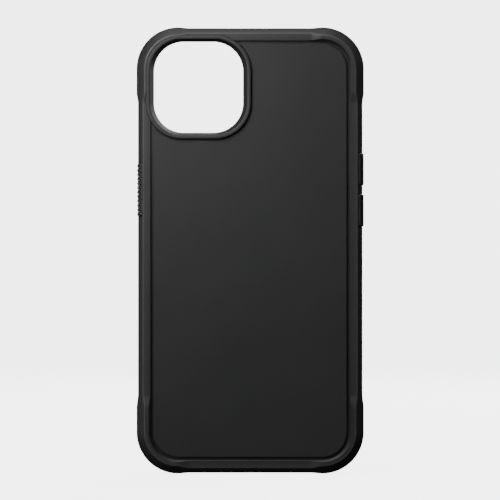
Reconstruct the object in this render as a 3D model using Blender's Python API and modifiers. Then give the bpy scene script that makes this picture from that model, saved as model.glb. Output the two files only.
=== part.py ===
"""Rugged phone case, built as the assembly of its separate pieces.

The case stands upright with its back facing -Y, its bottom end on Z = 0 and its middle on X = 0.
Every piece is modelled lying down, in the case's plan frame: x runs across the case, y runs up it,
and z is the depth, which is 0 at the back of the phone and grows towards the back of the case.
One empty, case_frame, turns the whole assembly upright.
"""

import math

import bmesh
import bpy
from mathutils import Matrix

MM = 0.001

# The phone that the case holds
PHONE_WIDTH = 71.5 * MM
PHONE_HEIGHT = 146.7 * MM
PHONE_DEPTH = 7.8 * MM
PHONE_CLEARANCE = 0.15 * MM
BAY_CORNER_RADIUS = 11.35 * MM

# Fits between pieces
FIT_GAP = 0.05 * MM
RING_GAP = 0.08 * MM
PLATE_TO_RING_GAP = 0.35 * MM
BUTTON_GAP = 0.12 * MM
POCKET_GAP = 0.06 * MM

# Layers of the back, from the phone outwards
LINING_THICKNESS = 0.4 * MM
LINING_INSET = 0.3 * MM
FLOOR_THICKNESS = 1.4 * MM
BOND_THICKNESS = 0.1 * MM
BOND_INSET = 1.0 * MM
PLATE_THICKNESS = 0.8 * MM
PLATE_INSET = 2.9 * MM
PLATE_EDGE = 0.12 * MM

# Hard chassis
CHASSIS_WALL = 0.9 * MM
CHASSIS_CHAMFER = 0.5 * MM

# Soft bumper: slim along the sides, thicker blocks round the corners
BUMPER_WALL = 1.51 * MM
RIM_ABOVE_PLATE = 0.5 * MM
RIM_EDGE = 0.15 * MM
SLIM_RIM_INSET = 2.0 * MM
SLIM_CHAMFER = 1.76 * MM
CORNER_RIM_INSET = 1.3 * MM
CORNER_CHAMFER = 2.76 * MM
CORNER_ABOVE_RIM = 0.45 * MM
CORNER_BULGE_SIDE = 0.5 * MM
CORNER_BULGE_END = 0.325 * MM
LIP_HEIGHT = 1.05 * MM
LIP_REACH = 1.0 * MM
LIP_EDGE = 0.4 * MM
LIP_CHAMFER = 0.8 * MM

# How far each corner block runs past its round stretch, and the ramp that ends it
BLOCK_RUN_TOP = 8.5 * MM
BLOCK_RAMP_TOP = 3.1 * MM
BLOCK_RUN_BOTTOM = 8.7 * MM
BLOCK_RAMP_BOTTOM = 4.0 * MM
BLOCK_RUN_END = 0.25 * MM
BLOCK_RAMP_END = 3.5 * MM

# Shock inserts between chassis and bumper
CUSHION_THICKNESS = 0.65 * MM
CUSHION_SPAN_DEGREES = 62.0
CUSHION_FROM_FRONT = 1.5 * MM
CUSHION_FROM_FLOOR = 0.25 * MM

# Camera opening and the guard ring round it
CAMERA_WIDTH = 33.25 * MM
CAMERA_HEIGHT = 32.8 * MM
CAMERA_RADIUS = 11.0 * MM
CAMERA_FROM_SIDE = 1.61 * MM
CAMERA_FROM_TOP = 1.335 * MM
RING_FACE = 1.25 * MM
RING_EDGE = 0.25 * MM
RING_ABOVE_RIM = 1.05 * MM
RING_TAPER_SIDE = 1.4 * MM
RING_TAPER_END = 0.85 * MM
LINING_CAMERA_MARGIN = 0.5 * MM

# Buttons
BUTTON_TRAVEL = 0.4 * MM
RECESS_WEB = 0.3 * MM
CAP_SKIN_ON_CHAMFER = 0.29 * MM
CAP_RECESS_FLOOR_GAP = 0.1 * MM
CAP_FROM_FRONT = 3.0 * MM
CAP_LOW_BEVEL = 0.4 * MM
CAP_UNDER_RIM = 0.47 * MM
CAP_RAMP = 0.5 * MM
NECK_HALF_DEPTH = 1.3 * MM
NECK_END_INSET = 2.0 * MM
FLANGE_MARGIN = 0.5 * MM
FLANGE_THICKNESS = 0.45 * MM
WINDOW_MARGIN = 0.15 * MM

POWER_ABOVE_MIDDLE = 20.7 * MM
POWER_RIB_PITCH = 1.5 * MM
POWER_RIB_COUNT = 12
POWER_RIB_LOW = 0.14 * MM
POWER_RIB_HIGH = 0.43 * MM
POWER_RIB_CREST = 0.3 * MM
POWER_RIB_FOOT = 0.35 * MM
VOLUME_LENGTH = 11.3 * MM
VOLUME_PITCH = 14.05 * MM
VOLUME_ABOVE_MIDDLE = 20.7 * MM
VOLUME_PROUD = 0.45 * MM

# Openings in the side and bottom walls
SWITCH_ABOVE_MIDDLE = 40.6 * MM
SWITCH_LENGTH = 11.0 * MM
SWITCH_WIDTH = 5.5 * MM
PORT_WIDTH = 13.5 * MM
PORT_DEPTH = 6.4 * MM
SPEAKER_WIDTH = 12.5 * MM
SPEAKER_DEPTH = 3.0 * MM
SPEAKER_OFFSET = 18.0 * MM
OPENING_ROUNDNESS = 0.45

# Magnets behind the back plate
MAGNET_COUNT = 18
MAGNET_RING_OUTER = 27.8 * MM
MAGNET_RING_INNER = 23.2 * MM
MAGNET_SPACING = 0.35 * MM
MAGNET_LEAD_GAP_DEGREES = 18.0
MAGNET_THICKNESS = 0.58 * MM
BAR_LENGTH = 21.0 * MM
BAR_WIDTH = 5.0 * MM
BAR_BELOW_RING = 6.0 * MM
CARRIER_THICKNESS = 0.1 * MM
CARRIER_MARGIN = 0.4 * MM
MAGNET_POCKET_MARGIN = 0.7 * MM

ARC_STEPS = 10
RING_STEPS = 64
SMALL_ARC_STEPS = 4
CUTTER_OVERRUN = 4.0 * MM

# Worked out from the sizes above
BAY_HALF_WIDTH = PHONE_WIDTH / 2 + PHONE_CLEARANCE
BAY_HALF_HEIGHT = PHONE_HEIGHT / 2 + PHONE_CLEARANCE
BUMPER_INNER = CHASSIS_WALL + FIT_GAP
BUMPER_OUTER = BUMPER_INNER + BUMPER_WALL
CENTRE_HEIGHT = BAY_HALF_HEIGHT + BUMPER_OUTER + CORNER_BULGE_END

LINING_BACK = LINING_THICKNESS
FLOOR_FRONT = LINING_BACK + FIT_GAP
FLOOR_BACK = FLOOR_FRONT + FLOOR_THICKNESS
BOND_FRONT = FLOOR_BACK + FIT_GAP
BOND_BACK = BOND_FRONT + BOND_THICKNESS
PLATE_FRONT = BOND_BACK + FIT_GAP
PLATE_BACK = PLATE_FRONT + PLATE_THICKNESS
RIM_BACK = PLATE_BACK + RIM_ABOVE_PLATE
RING_FOOT = FLOOR_BACK + FIT_GAP
RING_BACK = RIM_BACK + RING_ABOVE_RIM
LIP_UNDERSIDE = -(PHONE_DEPTH + PHONE_CLEARANCE)
FRONT = LIP_UNDERSIDE - LIP_HEIGHT
CHASSIS_FRONT = LIP_UNDERSIDE + FIT_GAP
MID_DEPTH = (FRONT + RING_BACK) / 2
PHONE_MIDDLE = -PHONE_DEPTH / 2
CUSHION_LOW = CHASSIS_FRONT + CUSHION_FROM_FRONT
CUSHION_HIGH = FLOOR_FRONT - CUSHION_FROM_FLOOR

CAMERA_X = -(BAY_HALF_WIDTH - CAMERA_FROM_SIDE - CAMERA_WIDTH / 2)
CAMERA_Y = CENTRE_HEIGHT + BAY_HALF_HEIGHT - CAMERA_FROM_TOP - CAMERA_HEIGHT / 2

RECESS_DEPTH = BUTTON_TRAVEL + CAP_RECESS_FLOOR_GAP
CAP_INNER = BUMPER_INNER + RECESS_WEB + RECESS_DEPTH
CAP_LOW = FRONT + CAP_FROM_FRONT
CAP_HIGH = RIM_BACK - CAP_UNDER_RIM
POWER_LENGTH = POWER_RIB_COUNT * POWER_RIB_PITCH + 2 * POWER_RIB_CREST
FLANGE_OUTER = CHASSIS_WALL - FIT_GAP
FLANGE_INNER = FLANGE_OUTER - FLANGE_THICKNESS

POCKET_FLOOR = FLOOR_BACK - FIT_GAP - MAGNET_THICKNESS - FIT_GAP - CARRIER_THICKNESS - FIT_GAP
CARRIER_FRONT = POCKET_FLOOR + FIT_GAP
MAGNET_FRONT = CARRIER_FRONT + CARRIER_THICKNESS + FIT_GAP
BAR_CENTRE = CENTRE_HEIGHT - MAGNET_RING_OUTER - BAR_BELOW_RING - BAR_LENGTH / 2


# ---------------------------------------------------------------- scene and materials


def clear_scene():
    """Removes everything that the startup scene holds."""
    for obj in list(bpy.data.objects):
        bpy.data.objects.remove(obj, do_unlink=True)


def new_collection(name):
    """A collection in the scene, for finished pieces or for their cutters."""
    made = bpy.data.collections.new(name)
    bpy.context.scene.collection.children.link(made)
    return made


def new_material(name, colour, roughness, metallic=0.0):
    """A plain surface: linear colour, roughness and metallic value."""
    material = bpy.data.materials.new(name)
    material.use_nodes = True
    shader = material.node_tree.nodes["Principled BSDF"]
    shader.inputs["Base Color"].default_value = (*colour, 1.0)
    shader.inputs["Roughness"].default_value = roughness
    shader.inputs["Metallic"].default_value = metallic
    material.diffuse_color = (*colour, 1.0)
    return material


clear_scene()
PIECES = new_collection("rugged_phone_case")
CUTTERS = new_collection("cutters")

case_frame = bpy.data.objects.new("case_frame", None)
case_frame.rotation_euler = (math.pi / 2, 0.0, 0.0)
case_frame.location = (0.0, MID_DEPTH, 0.0)
PIECES.objects.link(case_frame)


# ---------------------------------------------------------------- outlines


def arc(centre, radius, start, sweep, steps):
    """Points along an arc; angles in degrees, anticlockwise from +x."""
    turns = [math.radians(start + sweep * step / steps) for step in range(steps + 1)]
    return [(centre[0] + radius * math.cos(t), centre[1] + radius * math.sin(t)) for t in turns]


def rounded_rectangle(half_width, half_height, radius, centre=(0.0, 0.0), steps=ARC_STEPS):
    """A rectangle with round corners, anticlockwise from its right-hand side."""
    points = []
    for quarter, (right, up) in enumerate(((1, 1), (-1, 1), (-1, -1), (1, -1))):
        corner = (
            centre[0] + right * (half_width - radius),
            centre[1] + up * (half_height - radius),
        )
        points += arc(corner, radius, 90 * quarter, 90, steps)
    return points


def bay_outline(offset):
    """The phone bay's outline in plan, moved out by an offset."""
    return rounded_rectangle(
        BAY_HALF_WIDTH + offset,
        BAY_HALF_HEIGHT + offset,
        BAY_CORNER_RADIUS + offset,
        (0.0, CENTRE_HEIGHT),
    )


def camera_outline(offset_side, offset_end=None):
    """The camera opening's outline, moved out by an offset at its sides and at its ends."""
    offset_end = offset_side if offset_end is None else offset_end
    radius = CAMERA_RADIUS + max(offset_side, offset_end)
    return rounded_rectangle(
        CAMERA_WIDTH / 2 + offset_side, CAMERA_HEIGHT / 2 + offset_end, radius, (CAMERA_X, CAMERA_Y)
    )


def arc_band(inner, outer, start, sweep, centre, steps=SMALL_ARC_STEPS):
    """A closed band between two arcs about one centre."""
    far = arc(centre, outer, start, sweep, steps)
    near = arc(centre, inner, start + sweep, -sweep, steps)
    return far + near


# ---------------------------------------------------------------- solids


def place(obj, material, collection=None):
    """Adds an object to its collection, under case_frame, with its material."""
    (collection or PIECES).objects.link(obj)
    obj.parent = case_frame
    if material:
        obj.data.materials.append(material)
    if collection is CUTTERS:
        obj.hide_render = True
        obj.display_type = "WIRE"
    return obj


def slab(name, outlines, low, high, material=None, collection=None, turn=(0.0, 0.0, 0.0)):
    """A flat solid from a filled outline and its holes, low and high along the outline's normal.

    The outlines lie in the object's own xy plane, and turn then sets the object in the plan frame.
    """
    curve = bpy.data.curves.new(name, "CURVE")
    curve.dimensions = "2D"
    curve.fill_mode = "BOTH"
    curve.extrude = (high - low) / 2
    for outline in outlines:
        spline = curve.splines.new("POLY")
        spline.points.add(len(outline) - 1)
        for point, (x, y) in zip(spline.points, outline):
            point.co = (x, y, 0.0, 1.0)
        spline.use_cyclic_u = True
    drawn = bpy.data.objects.new(name + "_outline", curve)
    bpy.context.scene.collection.objects.link(drawn)
    graph = bpy.context.evaluated_depsgraph_get()
    mesh = bpy.data.meshes.new_from_object(drawn.evaluated_get(graph))
    mesh.name = name
    bpy.data.objects.remove(drawn, do_unlink=True)
    shape = bmesh.new()
    shape.from_mesh(mesh)
    bmesh.ops.remove_doubles(shape, verts=shape.verts, dist=1e-7)
    bmesh.ops.translate(shape, verts=shape.verts, vec=(0.0, 0.0, (low + high) / 2))
    bmesh.ops.recalc_face_normals(shape, faces=shape.faces)
    shape.to_mesh(mesh)
    shape.free()
    obj = bpy.data.objects.new(name, mesh)
    obj.rotation_euler = turn
    return place(obj, material, collection)


def loft(name, loops, closed, material=None, collection=None):
    """A solid whose skin joins loops of equally many points, in order.

    A closed loft joins its last loop to its first, like a ring; an open one is capped at both ends.
    """
    shape = bmesh.new()
    rows = [[shape.verts.new(point) for point in loop] for loop in loops]
    pairs = list(zip(rows, rows[1:])) + ([(rows[-1], rows[0])] if closed else [])
    for row, following in pairs:
        for i in range(len(row)):
            j = (i + 1) % len(row)
            shape.faces.new((row[i], row[j], following[j], following[i]))
    if not closed:
        shape.faces.new(rows[0][::-1])
        shape.faces.new(rows[-1])
    bmesh.ops.triangulate(shape, faces=shape.faces)
    bmesh.ops.recalc_face_normals(shape, faces=shape.faces)
    mesh = bpy.data.meshes.new(name)
    shape.to_mesh(mesh)
    shape.free()
    return place(bpy.data.objects.new(name, mesh), material, collection)


def block(name, low, high, material=None, collection=None):
    """A box between two corners in the plan frame."""
    shape = bmesh.new()
    bmesh.ops.create_cube(shape, size=1.0)
    size = [b - a for a, b in zip(low, high)]
    bmesh.ops.scale(shape, verts=shape.verts, vec=size)
    middle = [(a + b) / 2 for a, b in zip(low, high)]
    bmesh.ops.translate(shape, verts=shape.verts, vec=middle)
    mesh = bpy.data.meshes.new(name)
    shape.to_mesh(mesh)
    shape.free()
    return place(bpy.data.objects.new(name, mesh), material, collection)


def boolean(target, others, operation):
    """Cuts other solids out of a piece, or joins them on, all in one exact operation.

    The others go in a collection of the piece's own, which later calls for the same piece add to.
    """
    name = f"{target.name}_{operation.lower()}"
    group = bpy.data.collections.get(name)
    if group is None:
        group = bpy.data.collections.new(name)
        CUTTERS.children.link(group)
        modifier = target.modifiers.new(operation.lower(), "BOOLEAN")
        modifier.operand_type = "COLLECTION"
        modifier.collection = group
        modifier.operation = operation
        modifier.solver = "EXACT"
    for other in others:
        group.objects.link(other)


def cut(target, *others):
    boolean(target, others, "DIFFERENCE")


def join(target, *others):
    boolean(target, others, "UNION")


def bevel(obj, width, angle_degrees=40.0):
    """A one-step chamfer on a piece's sharp edges."""
    modifier = obj.modifiers.new("edge_chamfer", "BEVEL")
    modifier.width = width
    modifier.segments = 1
    modifier.limit_method = "ANGLE"
    modifier.angle_limit = math.radians(angle_degrees)


# ---------------------------------------------------------------- bumper


def mix(slim, corner, share):
    return slim + (corner - slim) * share


def bumper_section(share, bulge):
    """(offset from the bay, depth) round the bumper's section.

    share is 0 on a slim stretch and 1 in a corner block; bulge is how far the block stands out.
    """
    outer = BUMPER_OUTER + bulge * share
    rim = RIM_BACK + CORNER_ABOVE_RIM * share
    chamfer = mix(SLIM_CHAMFER, CORNER_CHAMFER, share)
    rim_inner = -mix(SLIM_RIM_INSET - RIM_EDGE, CORNER_RIM_INSET, share)
    return [
        (-SLIM_RIM_INSET, RING_FOOT),
        (-SLIM_RIM_INSET, RIM_BACK - RIM_EDGE),
        (rim_inner, rim),
        (outer - chamfer, rim),
        (outer, rim - chamfer),
        (outer, FRONT + LIP_CHAMFER),
        (outer - LIP_CHAMFER, FRONT),
        (LIP_EDGE - LIP_REACH, FRONT),
        (-LIP_REACH, FRONT + LIP_EDGE),
        (-LIP_REACH, LIP_UNDERSIDE),
        (BUMPER_INNER, LIP_UNDERSIDE),
        (BUMPER_INNER, FLOOR_BACK - CHASSIS_CHAMFER),
        (BUMPER_INNER - CHASSIS_CHAMFER, RING_FOOT),
    ]


def corner_stations(quarter):
    """One corner block's stations, anticlockwise: (bay point, outward direction, share, bulge)."""
    right = 1 if quarter in (0, 3) else -1
    up = 1 if quarter in (0, 1) else -1
    run, ramp = (BLOCK_RUN_TOP, BLOCK_RAMP_TOP) if up > 0 else (BLOCK_RUN_BOTTOM, BLOCK_RAMP_BOTTOM)
    centre_x = right * (BAY_HALF_WIDTH - BAY_CORNER_RADIUS)
    centre_y = CENTRE_HEIGHT + up * (BAY_HALF_HEIGHT - BAY_CORNER_RADIUS)
    side = []
    for share, reach in ((0.0, run + ramp), (1.0, run)):
        point = (right * BAY_HALF_WIDTH, centre_y - up * reach)
        side.append((point, (right, 0.0), share, CORNER_BULGE_SIDE))
    end = []
    for share, reach in ((1.0, BLOCK_RUN_END), (0.0, BLOCK_RUN_END + BLOCK_RAMP_END)):
        point = (centre_x - right * reach, CENTRE_HEIGHT + up * BAY_HALF_HEIGHT)
        end.append((point, (0.0, up), share, CORNER_BULGE_END))
    bend = []
    for step in range(ARC_STEPS + 1):
        turn = math.radians(90 * step / ARC_STEPS)
        out = (right * math.cos(turn), up * math.sin(turn))
        point = (centre_x + BAY_CORNER_RADIUS * out[0], centre_y + BAY_CORNER_RADIUS * out[1])
        bulge = mix(CORNER_BULGE_SIDE, CORNER_BULGE_END, step / ARC_STEPS)
        bend.append((point, out, 1.0, bulge))
    stations = side + bend + end
    return stations if right * up > 0 else stations[::-1]


def make_bumper(material):
    """The soft frame: rear rim, side walls, front lip and four corner blocks in one moulding."""
    loops = []
    for quarter in range(4):
        for point, out, share, bulge in corner_stations(quarter):
            section = bumper_section(share, bulge)
            loops.append([(point[0] + out[0] * o, point[1] + out[1] * o, depth) for o, depth in section])
    return loft("outer_bumper", loops, closed=True, material=material)


# ---------------------------------------------------------------- back of the case


def make_chassis(material):
    """The hard tray: floor and side walls, with the bay hollowed out and its outer back edge cut off."""
    levels = (
        (CHASSIS_WALL, CHASSIS_FRONT),
        (CHASSIS_WALL, FLOOR_BACK - CHASSIS_CHAMFER),
        (CHASSIS_WALL - CHASSIS_CHAMFER, FLOOR_BACK),
    )
    loops = [[(x, y, depth) for x, y in bay_outline(offset)] for offset, depth in levels]
    chassis = loft("inner_chassis", loops, closed=False, material=material)
    bay = slab("bay_cutter", [bay_outline(0.0)], CHASSIS_FRONT - CUTTER_OVERRUN, FLOOR_FRONT,
               collection=CUTTERS)
    camera = slab("camera_hole_cutter", [camera_outline(-RING_TAPER_SIDE, -RING_TAPER_END)],
                  FLOOR_FRONT - CUTTER_OVERRUN, FLOOR_BACK + CUTTER_OVERRUN, collection=CUTTERS)
    cut(chassis, bay, camera)
    return chassis


def make_ring(material):
    """The guard that stands up round the camera opening; its inner wall narrows towards the phone."""
    levels = (
        (RING_FACE, RING_FACE, RING_FOOT),
        (RING_FACE, RING_FACE, RING_BACK - RING_EDGE),
        (RING_FACE - RING_EDGE, RING_FACE - RING_EDGE, RING_BACK),
        (RING_EDGE, RING_EDGE, RING_BACK),
        (0.0, 0.0, RING_BACK - RING_EDGE),
        (-RING_TAPER_SIDE, -RING_TAPER_END, RING_FOOT),
    )
    loops = [[(x, y, depth) for x, y in camera_outline(side, end)] for side, end, depth in levels]
    return loft("camera_guard_ring", loops, closed=True, material=material)


def make_plate(name, inset, low, high, material):
    """A back sheet that follows the bay's outline and is cut away round the camera ring."""
    plate = slab(name, [bay_outline(-inset)], low, high, material)
    clear_of_ring = camera_outline(RING_FACE + PLATE_TO_RING_GAP + inset - PLATE_INSET)
    around_ring = slab(name + "_camera_cutter", [clear_of_ring], low - CUTTER_OVERRUN,
                       high + CUTTER_OVERRUN, collection=CUTTERS)
    cut(plate, around_ring)
    return plate


def make_lining(material):
    """The soft sheet on the chassis floor, with a hole that clears the camera."""
    hole = camera_outline(LINING_CAMERA_MARGIN - RING_TAPER_SIDE, LINING_CAMERA_MARGIN - RING_TAPER_END)
    return slab("microfibre_lining", [bay_outline(-LINING_INSET), hole], 0.0, LINING_BACK, material)


def make_cushion(name, quarter, material, bumper):
    """A shock insert in a pocket on the inside of one corner block."""
    right = 1 if quarter in (0, 3) else -1
    up = 1 if quarter in (0, 1) else -1
    centre = (
        right * (BAY_HALF_WIDTH - BAY_CORNER_RADIUS),
        CENTRE_HEIGHT + up * (BAY_HALF_HEIGHT - BAY_CORNER_RADIUS),
    )
    inner = BAY_CORNER_RADIUS + BUMPER_INNER + POCKET_GAP
    outer = inner + CUSHION_THICKNESS
    start = 45 + 90 * quarter - CUSHION_SPAN_DEGREES / 2
    band = arc_band(inner, outer, start, CUSHION_SPAN_DEGREES, centre, ARC_STEPS)
    slab(name, [band], CUSHION_LOW, CUSHION_HIGH, material)
    margin = math.degrees(POCKET_GAP / inner)
    pocket = arc_band(inner - CHASSIS_WALL, outer + POCKET_GAP, start - margin,
                      CUSHION_SPAN_DEGREES + 2 * margin, centre, ARC_STEPS)
    pocket_solid = slab(name + "_pocket_cutter", [pocket], CUSHION_LOW - POCKET_GAP,
                        CUSHION_HIGH + POCKET_GAP, collection=CUTTERS)
    cut(bumper, pocket_solid)


# ---------------------------------------------------------------- magnets


def make_magnets(magnet_material, film_material, chassis):
    """The magnet ring and its alignment bar, on a carrier film in a pocket behind the plate."""
    centre = (0.0, CENTRE_HEIGHT)
    sweep = (360 - MAGNET_LEAD_GAP_DEGREES) / MAGNET_COUNT
    spacing = math.degrees(MAGNET_SPACING / MAGNET_RING_OUTER)
    first = -90 + MAGNET_LEAD_GAP_DEGREES / 2
    for index in range(MAGNET_COUNT):
        band = arc_band(MAGNET_RING_INNER, MAGNET_RING_OUTER, first + sweep * index + spacing / 2,
                        sweep - spacing, centre)
        slab(f"ring_magnet_{index + 1:02d}", [band], MAGNET_FRONT, MAGNET_FRONT + MAGNET_THICKNESS,
             magnet_material)
    bar = rounded_rectangle(BAR_WIDTH / 2, BAR_LENGTH / 2, BAR_WIDTH / 5, (0.0, BAR_CENTRE), SMALL_ARC_STEPS)
    slab("alignment_magnet", [bar], MAGNET_FRONT, MAGNET_FRONT + MAGNET_THICKNESS, magnet_material)

    film = [arc(centre, radius, 0, 360 - 360 / RING_STEPS, RING_STEPS - 1)
            for radius in (MAGNET_RING_OUTER + CARRIER_MARGIN, MAGNET_RING_INNER - CARRIER_MARGIN)]
    slab("magnet_carrier_film", film, CARRIER_FRONT, CARRIER_FRONT + CARRIER_THICKNESS, film_material)

    pocket = [arc(centre, radius, 0, 360 - 360 / RING_STEPS, RING_STEPS - 1)
              for radius in (MAGNET_RING_OUTER + MAGNET_POCKET_MARGIN,
                             MAGNET_RING_INNER - MAGNET_POCKET_MARGIN)]
    ring_pocket = slab("magnet_ring_pocket_cutter", pocket, POCKET_FLOOR, FLOOR_BACK + CUTTER_OVERRUN,
                       collection=CUTTERS)
    bar_pocket_outline = rounded_rectangle(
        BAR_WIDTH / 2 + FIT_GAP * 2, BAR_LENGTH / 2 + FIT_GAP * 2, BAR_WIDTH / 5, (0.0, BAR_CENTRE),
        SMALL_ARC_STEPS)
    bar_pocket = slab("alignment_pocket_cutter", [bar_pocket_outline], MAGNET_FRONT - FIT_GAP,
                      FLOOR_BACK + CUTTER_OVERRUN, collection=CUTTERS)
    cut(chassis, ring_pocket, bar_pocket)


# ---------------------------------------------------------------- buttons


def cap_section(proud):
    """(offset from the bay, depth) round a button cap, which wraps over the bumper's back chamfer.

    The cap follows the slim bumper's side and chamfer, and stands proud of both.
    """
    slant = math.sqrt(2)
    chamfer_line = BUMPER_OUTER + RIM_BACK - SLIM_CHAMFER
    inner_line = chamfer_line - CAP_SKIN_ON_CHAMFER * slant
    outer_line = chamfer_line + proud * slant
    side = BUMPER_OUTER + proud
    return [
        (CAP_INNER, CAP_LOW),
        (BUMPER_OUTER - CAP_LOW_BEVEL, CAP_LOW),
        (side, CAP_LOW + CAP_LOW_BEVEL),
        (side, outer_line - side),
        (outer_line - CAP_HIGH, CAP_HIGH),
        (inner_line - CAP_HIGH, CAP_HIGH),
        (CAP_INNER, inner_line - CAP_INNER),
    ]


def recess_section():
    """The hole that a cap sinks into: the cap's section with room for its travel and fit."""
    slant = math.sqrt(2)
    floor = CAP_INNER - RECESS_DEPTH
    floor_line = (BUMPER_OUTER + RIM_BACK - SLIM_CHAMFER) - CAP_SKIN_ON_CHAMFER * slant - RECESS_DEPTH
    high = CAP_HIGH + BUTTON_GAP
    return [
        (floor, CAP_LOW - BUTTON_GAP),
        (BUMPER_OUTER + CUTTER_OVERRUN, CAP_LOW - BUTTON_GAP),
        (BUMPER_OUTER + CUTTER_OVERRUN, high),
        (floor_line - high, high),
        (floor, floor_line - floor),
    ]


def make_button(name, side, height, length, ribbed, material, bumper, chassis):
    """A sliding cap with a neck through the bumper and a flange that keeps it captive.

    side is -1 on the left and 1 on the right; the piece's origin is on its slide axis.
    """
    low_end, high_end = height - length / 2, height + length / 2
    if ribbed:
        stations = [(low_end, 0.0)]
        for rib in range(POWER_RIB_COUNT):
            middle = low_end + POWER_RIB_CREST + POWER_RIB_PITCH * (rib + 0.5)
            for shift, proud in ((-POWER_RIB_FOOT, POWER_RIB_LOW), (-POWER_RIB_CREST / 2, POWER_RIB_HIGH),
                                 (POWER_RIB_CREST / 2, POWER_RIB_HIGH), (POWER_RIB_FOOT, POWER_RIB_LOW)):
                stations.append((middle + shift, proud))
        stations.append((high_end, 0.0))
    else:
        stations = [(low_end, 0.0), (low_end + CAP_RAMP, VOLUME_PROUD),
                    (high_end - CAP_RAMP, VOLUME_PROUD), (high_end, 0.0)]
    loops = [[(side * (BAY_HALF_WIDTH + o), y, depth) for o, depth in cap_section(proud)]
             for y, proud in stations]
    cap = loft(name, loops, closed=False, material=material)

    def wall_box(suffix, inner, outer, margin):
        """A box through the wall, from an inner to an outer offset, round the neck plus a margin."""
        near, far = sorted((side * (BAY_HALF_WIDTH + inner), side * (BAY_HALF_WIDTH + outer)))
        half = length / 2 - NECK_END_INSET + margin
        deep = NECK_HALF_DEPTH + margin
        return block(f"{name}_{suffix}", (near, height - half, PHONE_MIDDLE - deep),
                     (far, height + half, PHONE_MIDDLE + deep), collection=CUTTERS)

    neck = wall_box("neck", FLANGE_OUTER - FLANGE_THICKNESS / 2, (CAP_INNER + BUMPER_OUTER) / 2, 0.0)
    flange = wall_box("flange", FLANGE_INNER, FLANGE_OUTER, FLANGE_MARGIN)
    join(cap, neck, flange)

    recess = slab(
        name + "_recess_cutter",
        [[(side * (BAY_HALF_WIDTH + o), depth) for o, depth in recess_section()]],
        -(high_end + BUTTON_GAP), -(low_end - BUTTON_GAP), collection=CUTTERS, turn=(math.pi / 2, 0.0, 0.0))
    neck_window = wall_box("neck_cutter", FLANGE_INNER, CAP_INNER, BUTTON_GAP)
    cut(bumper, recess, neck_window)
    cut(chassis, wall_box("flange_cutter", -CUTTER_OVERRUN / 2, BUMPER_INNER, FLANGE_MARGIN + WINDOW_MARGIN))

    origin = bpy.data.objects.new(name + "_axis", None)
    PIECES.objects.link(origin)
    origin.parent = case_frame
    origin.location = (side * (BAY_HALF_WIDTH + BUMPER_OUTER), height, PHONE_MIDDLE)
    cap.parent = origin
    cap.data.transform(Matrix.Translation(-origin.location))


# ---------------------------------------------------------------- openings


def cut_side_opening(name, height, length, width, *walls):
    """A rounded window through the right-hand side wall."""
    radius = width * OPENING_ROUNDNESS
    outline = rounded_rectangle(width / 2, length / 2, radius, (-PHONE_MIDDLE, height), SMALL_ARC_STEPS)
    outside = BAY_HALF_WIDTH + BUMPER_OUTER + CUTTER_OVERRUN
    window = slab(name, [outline], BAY_HALF_WIDTH - CUTTER_OVERRUN, outside,
                  collection=CUTTERS, turn=(0.0, math.pi / 2, 0.0))
    for wall in walls:
        cut(wall, window)


def cut_bottom_opening(name, middle, width, depth, *walls):
    """A rounded window through the bottom wall."""
    radius = depth * OPENING_ROUNDNESS
    outline = rounded_rectangle(width / 2, depth / 2, radius, (middle, PHONE_MIDDLE), SMALL_ARC_STEPS)
    wall_top = CENTRE_HEIGHT - BAY_HALF_HEIGHT
    window = slab(name, [outline], -(wall_top + CUTTER_OVERRUN), CUTTER_OVERRUN,
                  collection=CUTTERS, turn=(math.pi / 2, 0.0, 0.0))
    for wall in walls:
        cut(wall, window)


# ---------------------------------------------------------------- the assembly


def build_case():
    soft_black = new_material("tpe_black", (0.022, 0.022, 0.023), 0.55)
    hard_black = new_material("polycarbonate_black", (0.018, 0.018, 0.019), 0.4)
    plate_black = new_material("matte_polycarbonate_black", (0.028, 0.028, 0.029), 0.6)
    lining_grey = new_material("microfibre_charcoal", (0.035, 0.035, 0.037), 0.95)
    foam_grey = new_material("shock_foam_grey", (0.06, 0.06, 0.065), 0.8)
    magnet_metal = new_material("nickel_plated_magnet", (0.62, 0.60, 0.56), 0.3, 1.0)
    film = new_material("adhesive_film", (0.3, 0.3, 0.3), 0.5)

    bumper = make_bumper(soft_black)
    chassis = make_chassis(hard_black)
    plate = make_plate("rear_plate", PLATE_INSET, PLATE_FRONT, PLATE_BACK, plate_black)
    bevel(plate, PLATE_EDGE)
    make_plate("plate_bonding_film", PLATE_INSET + BOND_INSET, BOND_FRONT, BOND_BACK, film)
    make_ring(hard_black)
    ring_hole = slab("ring_hole_cutter", [camera_outline(RING_FACE + RING_GAP)], FLOOR_FRONT,
                     RING_BACK + CUTTER_OVERRUN, collection=CUTTERS)
    cut(bumper, ring_hole)
    make_lining(lining_grey)
    make_magnets(magnet_metal, film, chassis)

    corners = ("top_right", "top_left", "bottom_left", "bottom_right")
    for quarter, corner in enumerate(corners):
        make_cushion(f"corner_cushion_{corner}", quarter, foam_grey, bumper)

    power_height = CENTRE_HEIGHT + POWER_ABOVE_MIDDLE
    make_button("power_button", -1, power_height, POWER_LENGTH, True, hard_black, bumper, chassis)
    for name, shift in (("volume_up_button", VOLUME_PITCH / 2), ("volume_down_button", -VOLUME_PITCH / 2)):
        height = CENTRE_HEIGHT + VOLUME_ABOVE_MIDDLE + shift
        make_button(name, 1, height, VOLUME_LENGTH, False, hard_black, bumper, chassis)

    cut_side_opening("switch_cutter", CENTRE_HEIGHT + SWITCH_ABOVE_MIDDLE, SWITCH_LENGTH, SWITCH_WIDTH,
                     bumper, chassis)
    cut_bottom_opening("port_cutter", 0.0, PORT_WIDTH, PORT_DEPTH, bumper, chassis)
    for name, side in (("speaker_cutter_left", -1), ("speaker_cutter_right", 1)):
        cut_bottom_opening(name, side * SPEAKER_OFFSET, SPEAKER_WIDTH, SPEAKER_DEPTH, bumper, chassis)


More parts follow.
